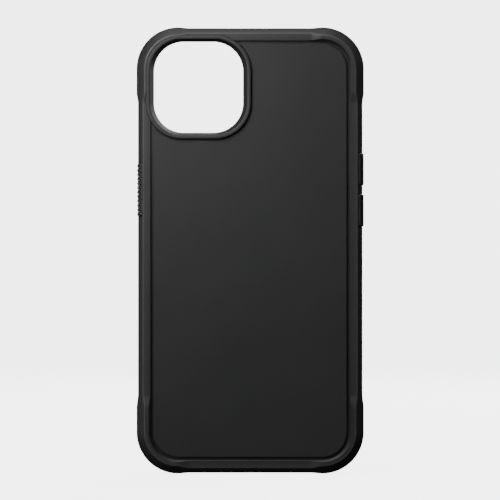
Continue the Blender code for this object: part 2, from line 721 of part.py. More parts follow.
build_case()
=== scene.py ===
"""Rugged phone case: the finished look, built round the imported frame.

The case stands upright with its open front facing +Y. Every shape is worked out in the case's plan
frame, which is (x across, height, depth): depth is 0 at the back of the phone and grows towards the
back of the case. PlanFrame turns it into the row frame, with its places read from the CAD boxes.
"""

import logging
import math
from dataclasses import dataclass, field
from enum import Enum

import bmesh
import bpy
import numpy as np
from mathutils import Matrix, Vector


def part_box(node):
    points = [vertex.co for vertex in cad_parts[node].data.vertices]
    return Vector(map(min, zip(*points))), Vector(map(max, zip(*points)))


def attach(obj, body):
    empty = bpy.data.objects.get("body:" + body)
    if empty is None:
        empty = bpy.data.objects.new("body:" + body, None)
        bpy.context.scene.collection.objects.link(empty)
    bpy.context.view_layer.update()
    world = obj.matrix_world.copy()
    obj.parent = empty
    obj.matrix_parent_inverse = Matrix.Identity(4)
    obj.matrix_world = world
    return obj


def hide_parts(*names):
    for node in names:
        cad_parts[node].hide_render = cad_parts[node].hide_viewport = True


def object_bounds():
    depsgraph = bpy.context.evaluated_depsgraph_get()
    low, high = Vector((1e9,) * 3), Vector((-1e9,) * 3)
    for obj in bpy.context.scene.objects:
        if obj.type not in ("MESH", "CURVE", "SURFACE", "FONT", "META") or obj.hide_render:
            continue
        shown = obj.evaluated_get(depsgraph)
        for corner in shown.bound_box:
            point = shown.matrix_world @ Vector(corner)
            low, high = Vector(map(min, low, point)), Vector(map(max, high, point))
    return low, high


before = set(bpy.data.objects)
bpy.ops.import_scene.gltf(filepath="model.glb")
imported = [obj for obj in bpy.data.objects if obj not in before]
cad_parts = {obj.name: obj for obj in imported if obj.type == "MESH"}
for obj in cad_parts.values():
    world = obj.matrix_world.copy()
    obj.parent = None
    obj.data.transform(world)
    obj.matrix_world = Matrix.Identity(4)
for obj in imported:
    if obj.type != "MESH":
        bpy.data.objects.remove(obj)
CAD_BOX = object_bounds()

LOG = logging.getLogger("phone_case")
MM = 0.001
NO_LENGTH = 1e-12


# ---------------------------------------------------------------- shapes as arrays


class Join(Enum):
    """How another solid changes a piece."""

    CUT = "DIFFERENCE"
    ADD = "UNION"


@dataclass(frozen=True)
class PlanFrame:
    """The phone bay's outline in plan and the depths of the case's layers."""

    half_width: float
    half_height: float
    radius: float
    middle: float
    zero_y: float
    wall: float
    floor_front: float
    floor_back: float
    plate_back: float
    ring_back: float
    front: float

    @classmethod
    def from_boxes(cls, wall: float = 0.9 * MM, radius: float = 11.35 * MM,
                   floor_gap: float = 0.05 * MM) -> "PlanFrame":
        """Reads the bay's size and the layers' depths off the CAD boxes.

        Args:
            wall: thickness of the chassis's side wall.
            radius: corner radius of the phone bay.
            floor_gap: fit between the lining and the chassis floor.

        Returns:
            The plan frame that every sub-assembly is drawn in.
        """
        low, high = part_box("inner_chassis")
        lining_low, lining_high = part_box("microfibre_lining")
        zero_y = lining_high.y
        return cls(
            half_width=(high.x - low.x) / 2 - wall,
            half_height=(high.z - low.z) / 2 - wall,
            radius=radius,
            middle=(high.z + low.z) / 2,
            zero_y=zero_y,
            wall=wall,
            floor_front=zero_y - lining_low.y + floor_gap,
            floor_back=zero_y - low.y,
            plate_back=zero_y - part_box("rear_plate")[0].y,
            ring_back=zero_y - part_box("camera_guard_ring")[0].y,
            front=zero_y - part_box("outer_bumper")[1].y,
        )

    def world(self, plan: np.ndarray) -> np.ndarray:
        """Turns (..., 3) plan points into the row frame.

        Args:
            plan: points as x, height and depth.

        Returns:
            The points as X, Y and Z in metres.
        """
        return np.stack([plan[..., 0], self.zero_y - plan[..., 2], plan[..., 1]], axis=-1)

    def outline(self, offset: float, corner_steps: int = 36) -> np.ndarray:
        """The bay's outline moved out by an offset, as (n, 2) points."""
        return rounded_outline(
            self.half_width + offset, self.half_height + offset, self.radius + offset,
            (0.0, self.middle), corner_steps,
        )


def rounded_outline(half_width: float, half_height: float, radius: float, centre: tuple[float, float],
                    corner_steps: int = 36) -> np.ndarray:
    """A rectangle with round corners, anticlockwise from its right-hand side.

    Each corner is a quarter circle about a point one radius inside both sides: centre + r(cos, sin).

    Args:
        half_width: half the width.
        half_height: half the height.
        radius: radius of the corners.
        centre: middle of the rectangle.
        corner_steps: segments in each quarter.

    Returns:
        The outline as (4 * (corner_steps + 1), 2) points.
    """
    turn = np.linspace(0.0, math.pi / 2, corner_steps + 1)
    quarters = np.arange(4)[:, None]
    angle = (quarters * math.pi / 2 + turn[None, :]).ravel()
    sides = np.array([(1, 1), (-1, 1), (-1, -1), (1, -1)], float)
    inset = np.array([half_width - radius, half_height - radius])
    corner = np.repeat(sides * inset, corner_steps + 1, axis=0)
    return np.array(centre) + corner + radius * np.stack([np.cos(angle), np.sin(angle)], axis=-1)


def round_corners(path: np.ndarray, reach: np.ndarray, steps: int = 5, share: float = 0.47) -> np.ndarray:
    """Rounds every corner of closed polylines.

    Each corner P becomes the quadratic Bezier from A through P's pull to C, where A and C lie reach
    away from P on its two edges: (1-t)^2 A + 2t(1-t) P + t^2 C.

    Args:
        path: (..., m, d) corners of closed polylines.
        reach: (m,) how far along its edges each corner is rounded.
        steps: segments in each rounded corner.
        share: the most of an edge that one corner may take.

    Returns:
        The rounded polylines, (..., m * (steps + 1), d).
    """
    before, after = np.roll(path, 1, axis=-2) - path, np.roll(path, -1, axis=-2) - path
    long_before = np.linalg.norm(before, axis=-1, keepdims=True)
    long_after = np.linalg.norm(after, axis=-1, keepdims=True)
    used = np.minimum(reach[:, None], share * np.minimum(long_before, long_after))
    start = (path + before / long_before * used)[..., None, :]
    end = (path + after / long_after * used)[..., None, :]
    t = np.linspace(0.0, 1.0, steps + 1)[:, None]
    bent = (1 - t) ** 2 * start + 2 * t * (1 - t) * path[..., None, :] + t**2 * end
    return bent.reshape(*path.shape[:-2], -1, path.shape[-1])


def dense_steps(path: np.ndarray, spacing: float) -> tuple[np.ndarray, np.ndarray]:
    """Where points fall when a closed polyline's edges are divided evenly.

    Args:
        path: (m, 2) corners.
        spacing: the longest edge that is left.

    Returns:
        The edge that each new point is on, and its share of the way along it as a column.
    """
    length = np.linalg.norm(np.roll(path, -1, axis=0) - path, axis=-1)
    count = np.maximum(1, np.ceil(length / spacing)).astype(int)
    edge = np.repeat(np.arange(len(path)), count)
    share = (np.arange(count.sum()) - np.repeat(np.cumsum(count) - count, count)) / count[edge]
    return edge, share[:, None]


def section_normals(section: np.ndarray) -> np.ndarray:
    """Unit normals of closed 2D polylines, on the right-hand side of their direction of travel.

    Args:
        section: (..., m, 2) points.

    Returns:
        (..., m, 2) normals from the central difference of the neighbours, turned a quarter.
    """
    along = np.roll(section, -1, axis=-2) - np.roll(section, 1, axis=-2)
    across = np.stack([along[..., 1], -along[..., 0]], axis=-1)
    return across / np.maximum(np.linalg.norm(across, axis=-1, keepdims=True), NO_LENGTH)


def soft_ramp(value: np.ndarray, crispness: float = 0.65) -> np.ndarray:
    """0 below 0, 1 above 1, and between them a mix of a straight ramp and 3t^2 - 2t^3."""
    t = np.clip(value, 0.0, 1.0)
    return crispness * t + (1 - crispness) * t * t * (3 - 2 * t)


def at_depth(loop: np.ndarray, depth: float) -> np.ndarray:
    """An (n, 2) plan loop as (n, 3) points at one depth."""
    return np.column_stack([loop, np.full(len(loop), depth)])


# ---------------------------------------------------------------- meshes


def grid_object(name: str, grid: np.ndarray, wrap_rows: bool) -> bpy.types.Object:
    """A closed solid from a grid of points whose rows are closed loops.

    Point (i, j) joins (i, j+1), (i+1, j+1) and (i+1, j). Rows wrap round like a ring, or the first
    and the last are capped.

    Args:
        name: the object's name.
        grid: (rows, columns, 3) points in the row frame.
        wrap_rows: whether the last row joins the first.

    Returns:
        The object, with its faces pointing outwards.
    """
    rows, columns = grid.shape[:2]
    i = np.arange(rows if wrap_rows else rows - 1)[:, None]
    j = np.arange(columns)[None, :]
    down, right = (i + 1) % rows, (j + 1) % columns
    corners = (i * columns + j, i * columns + right, down * columns + right, down * columns + j)
    sides = [np.broadcast_to(corner, (len(i), columns)) for corner in corners]
    faces = np.stack(sides, axis=-1).reshape(-1, 4).tolist()
    if not wrap_rows:
        faces.append(list(range(columns))[::-1])
        faces.append(list(range((rows - 1) * columns, rows * columns)))
    mesh = bpy.data.meshes.new(name)
    mesh.from_pydata(grid.reshape(-1, 3).tolist(), [], faces)
    obj = bpy.data.objects.new(name, mesh)
    bpy.context.scene.collection.objects.link(obj)
    face_outwards(obj)
    return obj


def face_outwards(obj: bpy.types.Object, merge: float = 1e-7) -> None:
    """Merges an object's doubled points and turns its faces outwards.

    Args:
        obj: a closed mesh object.
        merge: points nearer than this become one.
    """
    shape = bmesh.new()
    shape.from_mesh(obj.data)
    bmesh.ops.remove_doubles(shape, verts=shape.verts, dist=merge)
    bmesh.ops.dissolve_degenerate(shape, edges=shape.edges, dist=merge)
    bmesh.ops.recalc_face_normals(shape, faces=shape.faces)
    shape.to_mesh(obj.data)
    shape.free()


def prism(name: str, plan: PlanFrame, levels: list[tuple[np.ndarray, float]]) -> bpy.types.Object:
    """A solid through plan loops of equally many points, each at its depth."""
    grid = np.stack([at_depth(loop, depth) for loop, depth in levels])
    return grid_object(name, plan.world(grid), wrap_rows=False)


def block(name: str, plan: PlanFrame, low: tuple[float, float, float],
          high: tuple[float, float, float]) -> bpy.types.Object:
    """A box between two corners given as x, height and depth."""
    loop = np.array([(low[0], low[1]), (high[0], low[1]), (high[0], high[1]), (low[0], high[1])])
    return prism(name, plan, [(loop, low[2]), (loop, high[2])])


def carve(target: bpy.types.Object, others: list[bpy.types.Object], how: Join = Join.CUT) -> None:
    """Cuts solids out of a piece, or adds them to it, and removes them from the scene.

    Args:
        target: the piece that changes.
        others: closed solids.
        how: cut or add.
    """
    group = bpy.data.collections.new(f"{target.name}_tools")
    bpy.context.scene.collection.children.link(group)
    for other in others:
        group.objects.link(other)
    modifier = target.modifiers.new("carve", "BOOLEAN")
    modifier.operand_type = "COLLECTION"
    modifier.collection = group
    modifier.operation = how.value
    modifier.solver = "EXACT"
    graph = bpy.context.evaluated_depsgraph_get()
    carved = bpy.data.meshes.new_from_object(target.evaluated_get(graph))
    target.modifiers.clear()
    plain, target.data = target.data, carved
    carved.name = target.name
    bpy.data.meshes.remove(plain)
    for other in others:
        bpy.data.objects.remove(other, do_unlink=True)
    bpy.data.collections.remove(group)


def shade(obj: bpy.types.Object, sharp_degrees: float, large_face_weight: int = 100) -> None:
    """Shades a piece smooth, apart from edges sharper than an angle, with large faces kept flat.

    Args:
        obj: the piece.
        sharp_degrees: edges that bend more than this stay sharp.
        large_face_weight: pull of large faces on their edges' normals; 50 is even, 100 the most.
    """
    obj.data.shade_smooth()
    obj.data.set_sharp_from_angle(angle=math.radians(sharp_degrees))
    modifier = obj.modifiers.new("flat_faces", "WEIGHTED_NORMAL")
    modifier.keep_sharp = True
    modifier.weight = large_face_weight


# ---------------------------------------------------------------- finishes


def linear(colour: str, alpha: float = 1.0) -> tuple[float, float, float, float]:
    """An sRGB hex colour as linear RGBA.

    Args:
        colour: such as "#1e1e20".
        alpha: opacity.

    Returns:
        Red, green, blue and alpha, each from 0 to 1.
    """
    coded = np.array([int(colour[i:i + 2], 16) for i in (1, 3, 5)]) / 255
    light = np.where(coded <= 0.04045, coded / 12.92, ((coded + 0.055) / 1.055) ** 2.4)
    return (*light.tolist(), alpha)


def add_node(tree: bpy.types.NodeTree, kind: str, settings: dict | None = None,
             inputs: dict | None = None) -> bpy.types.Node:
    """Adds a node with its settings, and sets or links its inputs.

    Args:
        tree: the material's or world's node tree.
        kind: the node's type name.
        settings: attributes to set.
        inputs: socket name or number to a value or to another node's output.

    Returns:
        The node.
    """
    node = tree.nodes.new(kind)
    for key, value in (settings or {}).items():
        setattr(node, key, value)
    for key, value in (inputs or {}).items():
        if isinstance(value, bpy.types.NodeSocket):
            tree.links.new(value, node.inputs[key])
        else:
            node.inputs[key].default_value = value
    return node


# Fractal noise seldom leaves this range, so colours and roughness run from end to end inside it.
NOISE_RANGE = (0.3, 0.7)


@dataclass(frozen=True)
class Finish:
    """A surface: one material, made once and shared by the pieces that have it."""

    name: str
    dark: str
    light: str
    roughness: float
    roughness_swing: float = 0.06
    mottle: float = 14 * MM
    grain: float = 0.45 * MM
    grain_height: float = 0.02 * MM
    metallic: float = 0.0
    ior: float = 1.5
    sheen: float = 0.0

    def material(self) -> bpy.types.Material:
        """Builds the finish's material on first use, and finds it again after that.

        Returns:
            The material.
        """
        found = bpy.data.materials.get(self.name)
        if found:
            return found
        material = bpy.data.materials.new(self.name)
        material.use_nodes = True
        material.diffuse_color = linear(self.light)
        tree = material.node_tree
        shader = tree.nodes["Principled BSDF"]
        shader.inputs["Metallic"].default_value = self.metallic
        shader.inputs["IOR"].default_value = self.ior
        shader.inputs["Sheen Weight"].default_value = self.sheen
        place = add_node(tree, "ShaderNodeTexCoord").outputs["Object"]
        self.paint(tree, shader, place)
        return material

    def paint(self, tree: bpy.types.NodeTree, shader: bpy.types.Node, place: bpy.types.NodeSocket) -> None:
        """Colour drift, roughness drift and a fine moulded grain.

        Args:
            tree: the material's nodes.
            shader: its Principled BSDF.
            place: object coordinates.
        """
        drift = self.noise(tree, place, self.mottle, detail=3.0)
        self.colour(tree, shader, drift)
        self.gloss(tree, shader, drift)
        self.relief(tree, shader, self.noise(tree, place, self.grain, detail=4.0))

    def noise(self, tree: bpy.types.NodeTree, place: bpy.types.NodeSocket, size: float,
              detail: float = 2.0) -> bpy.types.NodeSocket:
        """Fractal noise whose blotches are about size metres across."""
        inputs = {"Vector": place, "Scale": 1 / size, "Detail": detail}
        return add_node(tree, "ShaderNodeTexNoise", {}, inputs).outputs["Fac"]

    def colour(self, tree: bpy.types.NodeTree, shader: bpy.types.Node, factor: bpy.types.NodeSocket) -> None:
        """Runs the base colour from dark to light along a factor.

        Args:
            tree: the material's nodes.
            shader: its Principled BSDF.
            factor: where the colour is on its ramp.
        """
        ramp = add_node(tree, "ShaderNodeValToRGB", {}, {"Fac": factor})
        ends = zip(ramp.color_ramp.elements, NOISE_RANGE, (self.dark, self.light))
        for element, position, colour in ends:
            element.position, element.color = position, linear(colour)
        tree.links.new(ramp.outputs["Color"], shader.inputs["Base Color"])

    def gloss(self, tree: bpy.types.NodeTree, shader: bpy.types.Node, factor: bpy.types.NodeSocket) -> None:
        """Swings the roughness about its middle value along a factor."""
        swing = add_node(tree, "ShaderNodeMapRange", {}, {
            "Value": factor, "From Min": NOISE_RANGE[0], "From Max": NOISE_RANGE[1],
            "To Min": self.roughness - self.roughness_swing, "To Max": self.roughness + self.roughness_swing,
        })
        tree.links.new(swing.outputs["Result"], shader.inputs["Roughness"])

    def relief(self, tree: bpy.types.NodeTree, shader: bpy.types.Node, height: bpy.types.NodeSocket) -> None:
        """Turns a height from 0 to 1 into a bump that is grain_height deep.

        Args:
            tree: the material's nodes.
            shader: its Principled BSDF.
            height: the grain's height.
        """
        settings = {"Height": height, "Distance": self.grain_height, "Strength": 1.0}
        bump = add_node(tree, "ShaderNodeBump", {}, settings)
        tree.links.new(bump.outputs["Normal"], shader.inputs["Normal"])


@dataclass(frozen=True)
class MouldedElastomer(Finish):
    """TPE from a spark-eroded mould: matte, with pits between soft cells."""

    cell_grains: float = 1.6
    cell_depth: float = 0.6
    cell_softness: float = 0.6

    def paint(self, tree: bpy.types.NodeTree, shader: bpy.types.Node, place: bpy.types.NodeSocket) -> None:
        """Adds shallow mould cells to the plain grain.

        Args:
            tree: the material's nodes.
            shader: its Principled BSDF.
            place: object coordinates.
        """
        drift = self.noise(tree, place, self.mottle, detail=3.0)
        fine = self.noise(tree, place, self.grain, detail=4.0)
        cells = add_node(tree, "ShaderNodeTexVoronoi", {"feature": "SMOOTH_F1"},
                         {"Vector": place, "Scale": 1 / (self.cell_grains * self.grain),
                          "Smoothness": self.cell_softness})
        height = add_node(tree, "ShaderNodeMath", {"operation": "MULTIPLY_ADD"},
                          {0: cells.outputs["Distance"], 1: self.cell_depth, 2: fine})
        self.colour(tree, shader, drift)
        self.gloss(tree, shader, drift)
        self.relief(tree, shader, height.outputs["Value"])


@dataclass(frozen=True)
class CreaseHighlightElastomer(MouldedElastomer):
    """Moulded elastomer with a painted highlight along its crease: a lighter colour there, and a lower
    roughness.
    """

    # painted highlight colour for the crease, much lighter than the TPE
    crease_highlight: str = "#5c5c5e"
    crease_roughness: float = 0.34

    def colour(self, tree: bpy.types.NodeTree, shader: bpy.types.Node, factor: bpy.types.NodeSocket) -> None:
        """Mixes the painted crease highlight colour in over the plain one."""
        super().colour(tree, shader, factor)
        self.mix_at_crease(tree, shader, "Base Color", "RGBA", linear(self.crease_highlight))

    def gloss(self, tree: bpy.types.NodeTree, shader: bpy.types.Node, factor: bpy.types.NodeSocket) -> None:
        """Mixes the lower crease roughness in over the plain one."""
        super().gloss(tree, shader, factor)
        self.mix_at_crease(tree, shader, "Roughness", "FLOAT", self.crease_roughness)

    def mix_at_crease(self, tree: bpy.types.NodeTree, shader: bpy.types.Node, socket: str, data_type: str,
            value: float | tuple[float, ...]) -> None:
        """Puts a mix between a socket and its link: what it had, and the crease value where
        crease_highlight_and_gloss is 1.

        Args:
            tree: the material's nodes.
            shader: its Principled BSDF.
            socket: name of the shader's input.
            data_type: the mix's kind of value.
            value: the value at the crease, either a painted highlight colour or a lower roughness.
        """
        # mask of the painted crease highlight, which also lowers the roughness there
        crease_mask = add_node(tree, "ShaderNodeAttribute", {"attribute_name": "crease_highlight_and_gloss"}).outputs["Fac"]
        base = shader.inputs[socket].links[0].from_socket
        mix = add_node(tree, "ShaderNodeMix", {"data_type": data_type},
                       {"Factor": crease_mask, "A": base, "B": value})
        tree.links.new(mix.outputs["Result"], shader.inputs[socket])


@dataclass(frozen=True)
class Microfibre(Finish):
    """Brushed microfibre: short nap that lies in soft strokes, with a sheen at its edges."""

    stroke: float = 5.0 * MM
    stroke_tilt: float = 12.0
    stroke_squeeze: float = 0.3
    fibre_share: float = 0.35
    fibre_middle: float = 0.17

    def paint(self, tree: bpy.types.NodeTree, shader: bpy.types.Node, place: bpy.types.NodeSocket) -> None:
        """Stretched noise for the brushed strokes and a fine noise for the fibre tips.

        Args:
            tree: the material's nodes.
            shader: its Principled BSDF.
            place: object coordinates.
        """
        turned = add_node(tree, "ShaderNodeMapping", {}, {
            "Vector": place, "Rotation": (0.0, math.radians(self.stroke_tilt), 0.0),
            "Scale": (1.0, 1.0, self.stroke_squeeze)})
        strokes = self.noise(tree, turned.outputs["Vector"], self.stroke, detail=4.0)
        fibres = self.noise(tree, place, self.grain, detail=5.0)
        mix = add_node(tree, "ShaderNodeMath", {"operation": "MULTIPLY_ADD"},
                       {0: fibres, 1: self.fibre_share, 2: strokes})
        shift = add_node(tree, "ShaderNodeMath", {"operation": "SUBTRACT"},
                         {0: mix.outputs["Value"], 1: self.fibre_middle})
        self.colour(tree, shader, shift.outputs["Value"])
        self.gloss(tree, shader, strokes)
        self.relief(tree, shader, fibres)


@dataclass(frozen=True)
class BrushedPlating(Finish):
    """Nickel plating over sintered magnet: faint lapping lines."""

    line_squeeze: float = 0.01

    def paint(self, tree: bpy.types.NodeTree, shader: bpy.types.Node, place: bpy.types.NodeSocket) -> None:
        """Noise drawn out along the height for the lapping lines, over a slow drift of colour.

        Args:
            tree: the material's nodes.
            shader: its Principled BSDF.
            place: object coordinates.
        """
        drawn = add_node(tree, "ShaderNodeMapping", {},
                         {"Vector": place, "Scale": (1.0, 1.0, self.line_squeeze)})
        lines = self.noise(tree, drawn.outputs["Vector"], self.grain, detail=3.0)
        self.colour(tree, shader, self.noise(tree, place, self.mottle, detail=2.0))
        self.gloss(tree, shader, lines)
        self.relief(tree, shader, lines)


# Real moulded grain is about 0.1 mm across, too fine to show, so it is drawn three to five times as coarse.
# Thermoplastic elastomer, injection moulded: near-black and satin, with a painted highlight of lighter colour
# and lower roughness along its crease.
BUMPER_TPE = CreaseHighlightElastomer(
    "moulded_tpe", "#242425", "#262628", 0.5, 0.02, grain=0.5 * MM, grain_height=0.006 * MM)
# Soft-touch coated polycarbonate sheet: even and matte, about as dark as the frame.
PLATE_SOFT_TOUCH = Finish(
    "soft_touch_polycarbonate", "#232325", "#272729", 0.52, 0.03,
    grain=0.35 * MM, grain_height=0.006 * MM, mottle=30 * MM)
# Polycarbonate from a satin mould: the lightest black on the case.
RING_POLYCARBONATE = Finish(
    "satin_polycarbonate", "#282829", "#2b2b2b", 0.58, 0.03, grain_height=0.004 * MM, ior=1.58)
# Hard-coated polycarbonate cap, slightly glossier where fingers rub it.
BUTTON_POLYCARBONATE = Finish(
    "button_polycarbonate", "#1f1f20", "#262627", 0.36, 0.05,
    grain=0.3 * MM, grain_height=0.006 * MM, mottle=4 * MM, ior=1.58)
# Plain moulded polycarbonate, with the dull patches that ejection leaves. It is coloured darker than the frame
# so that the groove round the back plate shows painted shade.
CHASSIS_POLYCARBONATE = Finish(
    "chassis_polycarbonate", "#0e0e0f", "#141415", 0.42, 0.06, mottle=22 * MM, ior=1.58)
# Brushed microfibre cloth: a dark grey nap whose strokes catch the light.
LINING_MICROFIBRE = Microfibre(
    "brushed_microfibre", "#242428", "#36363b", 0.92, 0.05,
    grain=0.4 * MM, grain_height=0.05 * MM, sheen=0.6)
# Closed-cell polyurethane foam: dull grey, with the skin's open pores.
CUSHION_FOAM = MouldedElastomer(
    "polyurethane_foam", "#3a3a3e", "#4a4a50", 0.85, 0.05, grain=0.6 * MM, grain_height=0.08 * MM)
# Nickel-plated neodymium: warm grey metal, faintly lined.
MAGNET_NICKEL = BrushedPlating(
    "nickel_plating", "#b7b3aa", "#cfcbc2", 0.3, 0.08,
    grain=0.2 * MM, grain_height=0.003 * MM, metallic=1.0)
# Adhesive film on a frosted polyester carrier: pale and half matte.
FILM_ADHESIVE = Finish(
    "frosted_adhesive_film", "#8f8f8c", "#a3a39f", 0.4, 0.1, grain=0.8 * MM, grain_height=0.01 * MM)


# ---------------------------------------------------------------- pieces


@dataclass
class Piece:
    obj: bpy.types.Object
    finish: Finish
    slot: str
    node: str
    body: str = "case"
    sharp_degrees: float = 32.0

    def register(self) -> None:
        """Dresses the object, ties it to its CAD body and hides its CAD node."""
        self.obj.data.materials.clear()
        self.obj.data.materials.append(self.finish.material())
        shade(self.obj, self.sharp_degrees)
        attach(self.obj, self.body)
        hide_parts(self.node)
        faces = len(self.obj.data.polygons)
        LOG.info("%s: %d faces, stands for %s on %s", self.obj.name, faces, self.node, self.body)


@dataclass
class CameraOpening:
    """The camera opening's outline in plan, read off the guard ring."""

    face: float = 1.25 * MM
    radius: float = 11.0 * MM
    taper_side: float = 1.4 * MM
    taper_end: float = 0.85 * MM

    def outline(self, side: float, end: float | None = None, corner_steps: int = 36) -> np.ndarray:
        """The opening's upper edge, moved out by an offset.

        Args:
            side: offset of the left and right sides.
            end: offset of the top and bottom; the same as side if left out.
            corner_steps: segments in each corner.

        Returns:
            The outline as (n, 2) points.
        """
        end = side if end is None else end
        low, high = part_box("camera_guard_ring")
        return rounded_outline(
            (high.x - low.x) / 2 - self.face + side, (high.z - low.z) / 2 - self.face + end,
            self.radius + max(side, end), ((high.x + low.x) / 2, (high.z + low.z) / 2), corner_steps,
        )

    def hole(self, margin: float = 0.0) -> np.ndarray:
        """The narrower opening at the chassis, moved out by a margin."""
        return self.outline(margin - self.taper_side, margin - self.taper_end)


@dataclass
class GuardRing:
    """The raised ring round the camera opening, with a domed face and a tapering inner wall."""

    plan: PlanFrame
    opening: CameraOpening
    foot_gap: float = 0.05 * MM
    dome: float = 0.07 * MM
    edge: float = 0.24 * MM
    outer_foot_edge: float = 0.02 * MM
    inner_foot_edge: float = 0.05 * MM
    edge_steps: int = 6
    corner_steps: int = 48

    def section(self) -> np.ndarray:
        """The ring's wall in section: upright outside, domed at the back, tapering in towards the foot.

        Returns:
            (n, 3) points as side offset, end offset and depth.
        """
        face, back = self.opening.face, self.plan.ring_back
        foot = self.plan.floor_back + self.foot_gap
        corners = np.array([
            (face, face, foot), (face, face, back - self.dome), (face / 2, face / 2, back),
            (0.0, 0.0, back - self.dome), (-self.opening.taper_side, -self.opening.taper_end, foot),
        ])
        reach = np.array([self.outer_foot_edge, self.edge, self.edge, self.edge, self.inner_foot_edge])
        return round_corners(corners, reach, self.edge_steps)

    def pieces(self) -> list[Piece]:
        """Carries the wall's section round the opening, one loop for each of its points.

        Returns:
            The guard ring.
        """
        rows = [at_depth(self.opening.outline(side, end, self.corner_steps), depth)
                for side, end, depth in self.section()]
        ring = grid_object("camera_guard", self.plan.world(np.stack(rows)), wrap_rows=True)
        return [Piece(ring, RING_POLYCARBONATE, "guard_ring", "camera_guard_ring")]


@dataclass
class ButtonCap:
    """A sliding button cap that wraps from the side wall over the back chamfer."""

    plan: PlanFrame
    node: str
    piece_name: str
    side: int
    wall: float
    slim_rim: float
    chamfer: float
    proud: float = 0.45 * MM
    ribbed: bool = False
    rib_pitch: float = 1.5 * MM
    rib_height: float = 0.4 * MM
    end_ramp: float = 0.6 * MM
    corner: float = 0.9 * MM
    from_front: float = 3.0 * MM
    under_rim: float = 0.47 * MM
    depth_in_wall: float = 0.71 * MM
    skin: float = 0.29 * MM
    gap: float = 0.12 * MM
    fit: float = 0.05 * MM
    travel_room: float = 0.5 * MM
    recess_reach: float = 3.0 * MM
    neck_half_depth: float = 1.3 * MM
    neck_inset: float = 2.0 * MM
    flange_margin: float = 0.5 * MM
    flange_thickness: float = 0.45 * MM
    flange_clearance: float = 0.15 * MM
    window_depth: float = 2.0 * MM
    phone_middle: float = -3.9 * MM
    lane_width: float = 0.85 * MM
    rib_phase: float = 0.157
    rib_spacing: float = 0.11 * MM
    rib_section_spacing: float = 0.12 * MM
    plain_spacing: float = 0.5 * MM
    end_steps: int = 13
    sharp_degrees: float = 40.0
    corner_reach: tuple[float, ...] = (0.05 * MM, 0.3 * MM, 0.5 * MM, 0.22 * MM, 0.05 * MM, 0.05 * MM)

    def ends(self) -> tuple[float, float]:
        """The cap's lowest and highest point up the case."""
        low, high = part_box(self.node)
        return low.z, high.z

    def sections(self, heights: np.ndarray, proud: np.ndarray, grow: float, deeper: float) -> np.ndarray:
        """The cap's section at each height.

        The section follows the side wall and the chamfer line, on which offset plus depth is constant.
        Near the cap's ends its lower and upper edges draw in by r - sqrt(r^2 - (r - d)^2), a quarter circle.

        Args:
            heights: where the sections are.
            proud: how far each stands out of the wall.
            grow: clearance all round, for the recess.
            deeper: how much further in the inner faces lie, for the recess.

        Returns:
            (heights, 6, 2) corners as offset from the bay and depth.
        """
        low_end, high_end = self.ends()
        inside = np.minimum(heights - low_end + grow, high_end + grow - heights)
        short = np.clip(self.corner - inside, 0.0, self.corner)
        draw_in = self.corner - np.sqrt(np.maximum(self.corner**2 - short**2, 0.0))
        root2 = math.sqrt(2)
        line = self.wall + self.slim_rim - self.chamfer
        inner_line = line - self.skin * root2 - deeper
        inner = self.wall - self.depth_in_wall - deeper
        low = self.plan.front + self.from_front - grow + draw_in
        high = self.slim_rim - self.under_rim + grow - draw_in
        outer = self.wall + proud
        outer_line = line + proud * root2
        full = np.ones_like(heights)
        corners = [
            (inner * full, low), (outer, low), (outer, outer_line - outer),
            (outer_line - high, high), (inner_line - high, high), (inner * full, (inner_line - inner) * full),
        ]
        return np.stack([np.stack(corner, axis=-1) for corner in corners], axis=1)

    def solid(self, name: str, heights: np.ndarray, sections: np.ndarray) -> bpy.types.Object:
        """A solid through sections stacked up the case's side.

        Args:
            name: the object's name.
            heights: (n,) places up the case.
            sections: (n, m, 2) points as offset from the bay and depth.

        Returns:
            The object.
        """
        x = self.side * (self.plan.half_width + sections[..., 0])
        tall = np.broadcast_to(heights[:, None], x.shape)
        surface = np.stack([x, tall, sections[..., 1]], axis=-1)
        return grid_object(name, self.plan.world(surface), wrap_rows=False)

    def knurl(self, heights: np.ndarray, along: np.ndarray) -> np.ndarray:
        """Ribs across the cap, staggered half a pitch from lane to lane down the chamfer.

        Height is a raised cosine of the place within the pitch, sharpened by squaring. The phase jumps by
        half a pitch at each lane boundary, where the root of a sine across the lane takes the height to 0.

        Args:
            heights: (n, 1) places up the case.
            along: (n, m) distance along the section from the start of the chamfer.

        Returns:
            (n, m) heights from 0 to 1.
        """
        lane = np.where(along < 0, 0.0, 1 + np.floor(along / self.lane_width))
        phase = (heights - self.ends()[0]) / self.rib_pitch + 0.5 * (lane % 2)
        rib = 0.5 - 0.5 * np.cos(2 * math.pi * (phase - self.rib_phase))
        across = np.abs(np.sin(math.pi * np.clip(along, 0, None) / self.lane_width))
        return rib**2 * np.where(along < 0, 1.0, np.sqrt(across))

    def wall_box(self, name: str, inner: float, outer: float, margin: float) -> bpy.types.Object:
        """A box through the wall on the line of the neck.

        Args:
            name: the object's name.
            inner: offset from the bay of its near side.
            outer: offset from the bay of its far side.
            margin: how much bigger than the neck it is, all round.

        Returns:
            The object.
        """
        low_end, high_end = self.ends()
        near, far = sorted(self.side * (self.plan.half_width + offset) for offset in (inner, outer))
        deep = self.neck_half_depth + margin
        return block(
            name, self.plan,
            (near, low_end + self.neck_inset - margin, self.phone_middle - deep),
            (far, high_end - self.neck_inset + margin, self.phone_middle + deep),
        )

    def recess(self) -> bpy.types.Object:
        """The hole in the bumper that the cap sinks into, open to the outside.

        Returns:
            The cap's own sections grown by the gap, without the corner between side and chamfer.
        """
        low_end, high_end = self.ends()
        ramp = np.linspace(0, self.corner, 9)
        heights = np.concatenate([low_end - self.gap + ramp, high_end + self.gap - ramp[::-1]])
        proud = np.full_like(heights, self.recess_reach)
        sections = self.sections(heights, proud, self.gap, self.travel_room)
        sections[:, 3, 0] = sections[:, 2, 0]
        sections = np.delete(sections, 2, axis=1)
        return self.solid(f"{self.piece_name}_recess", heights, sections)

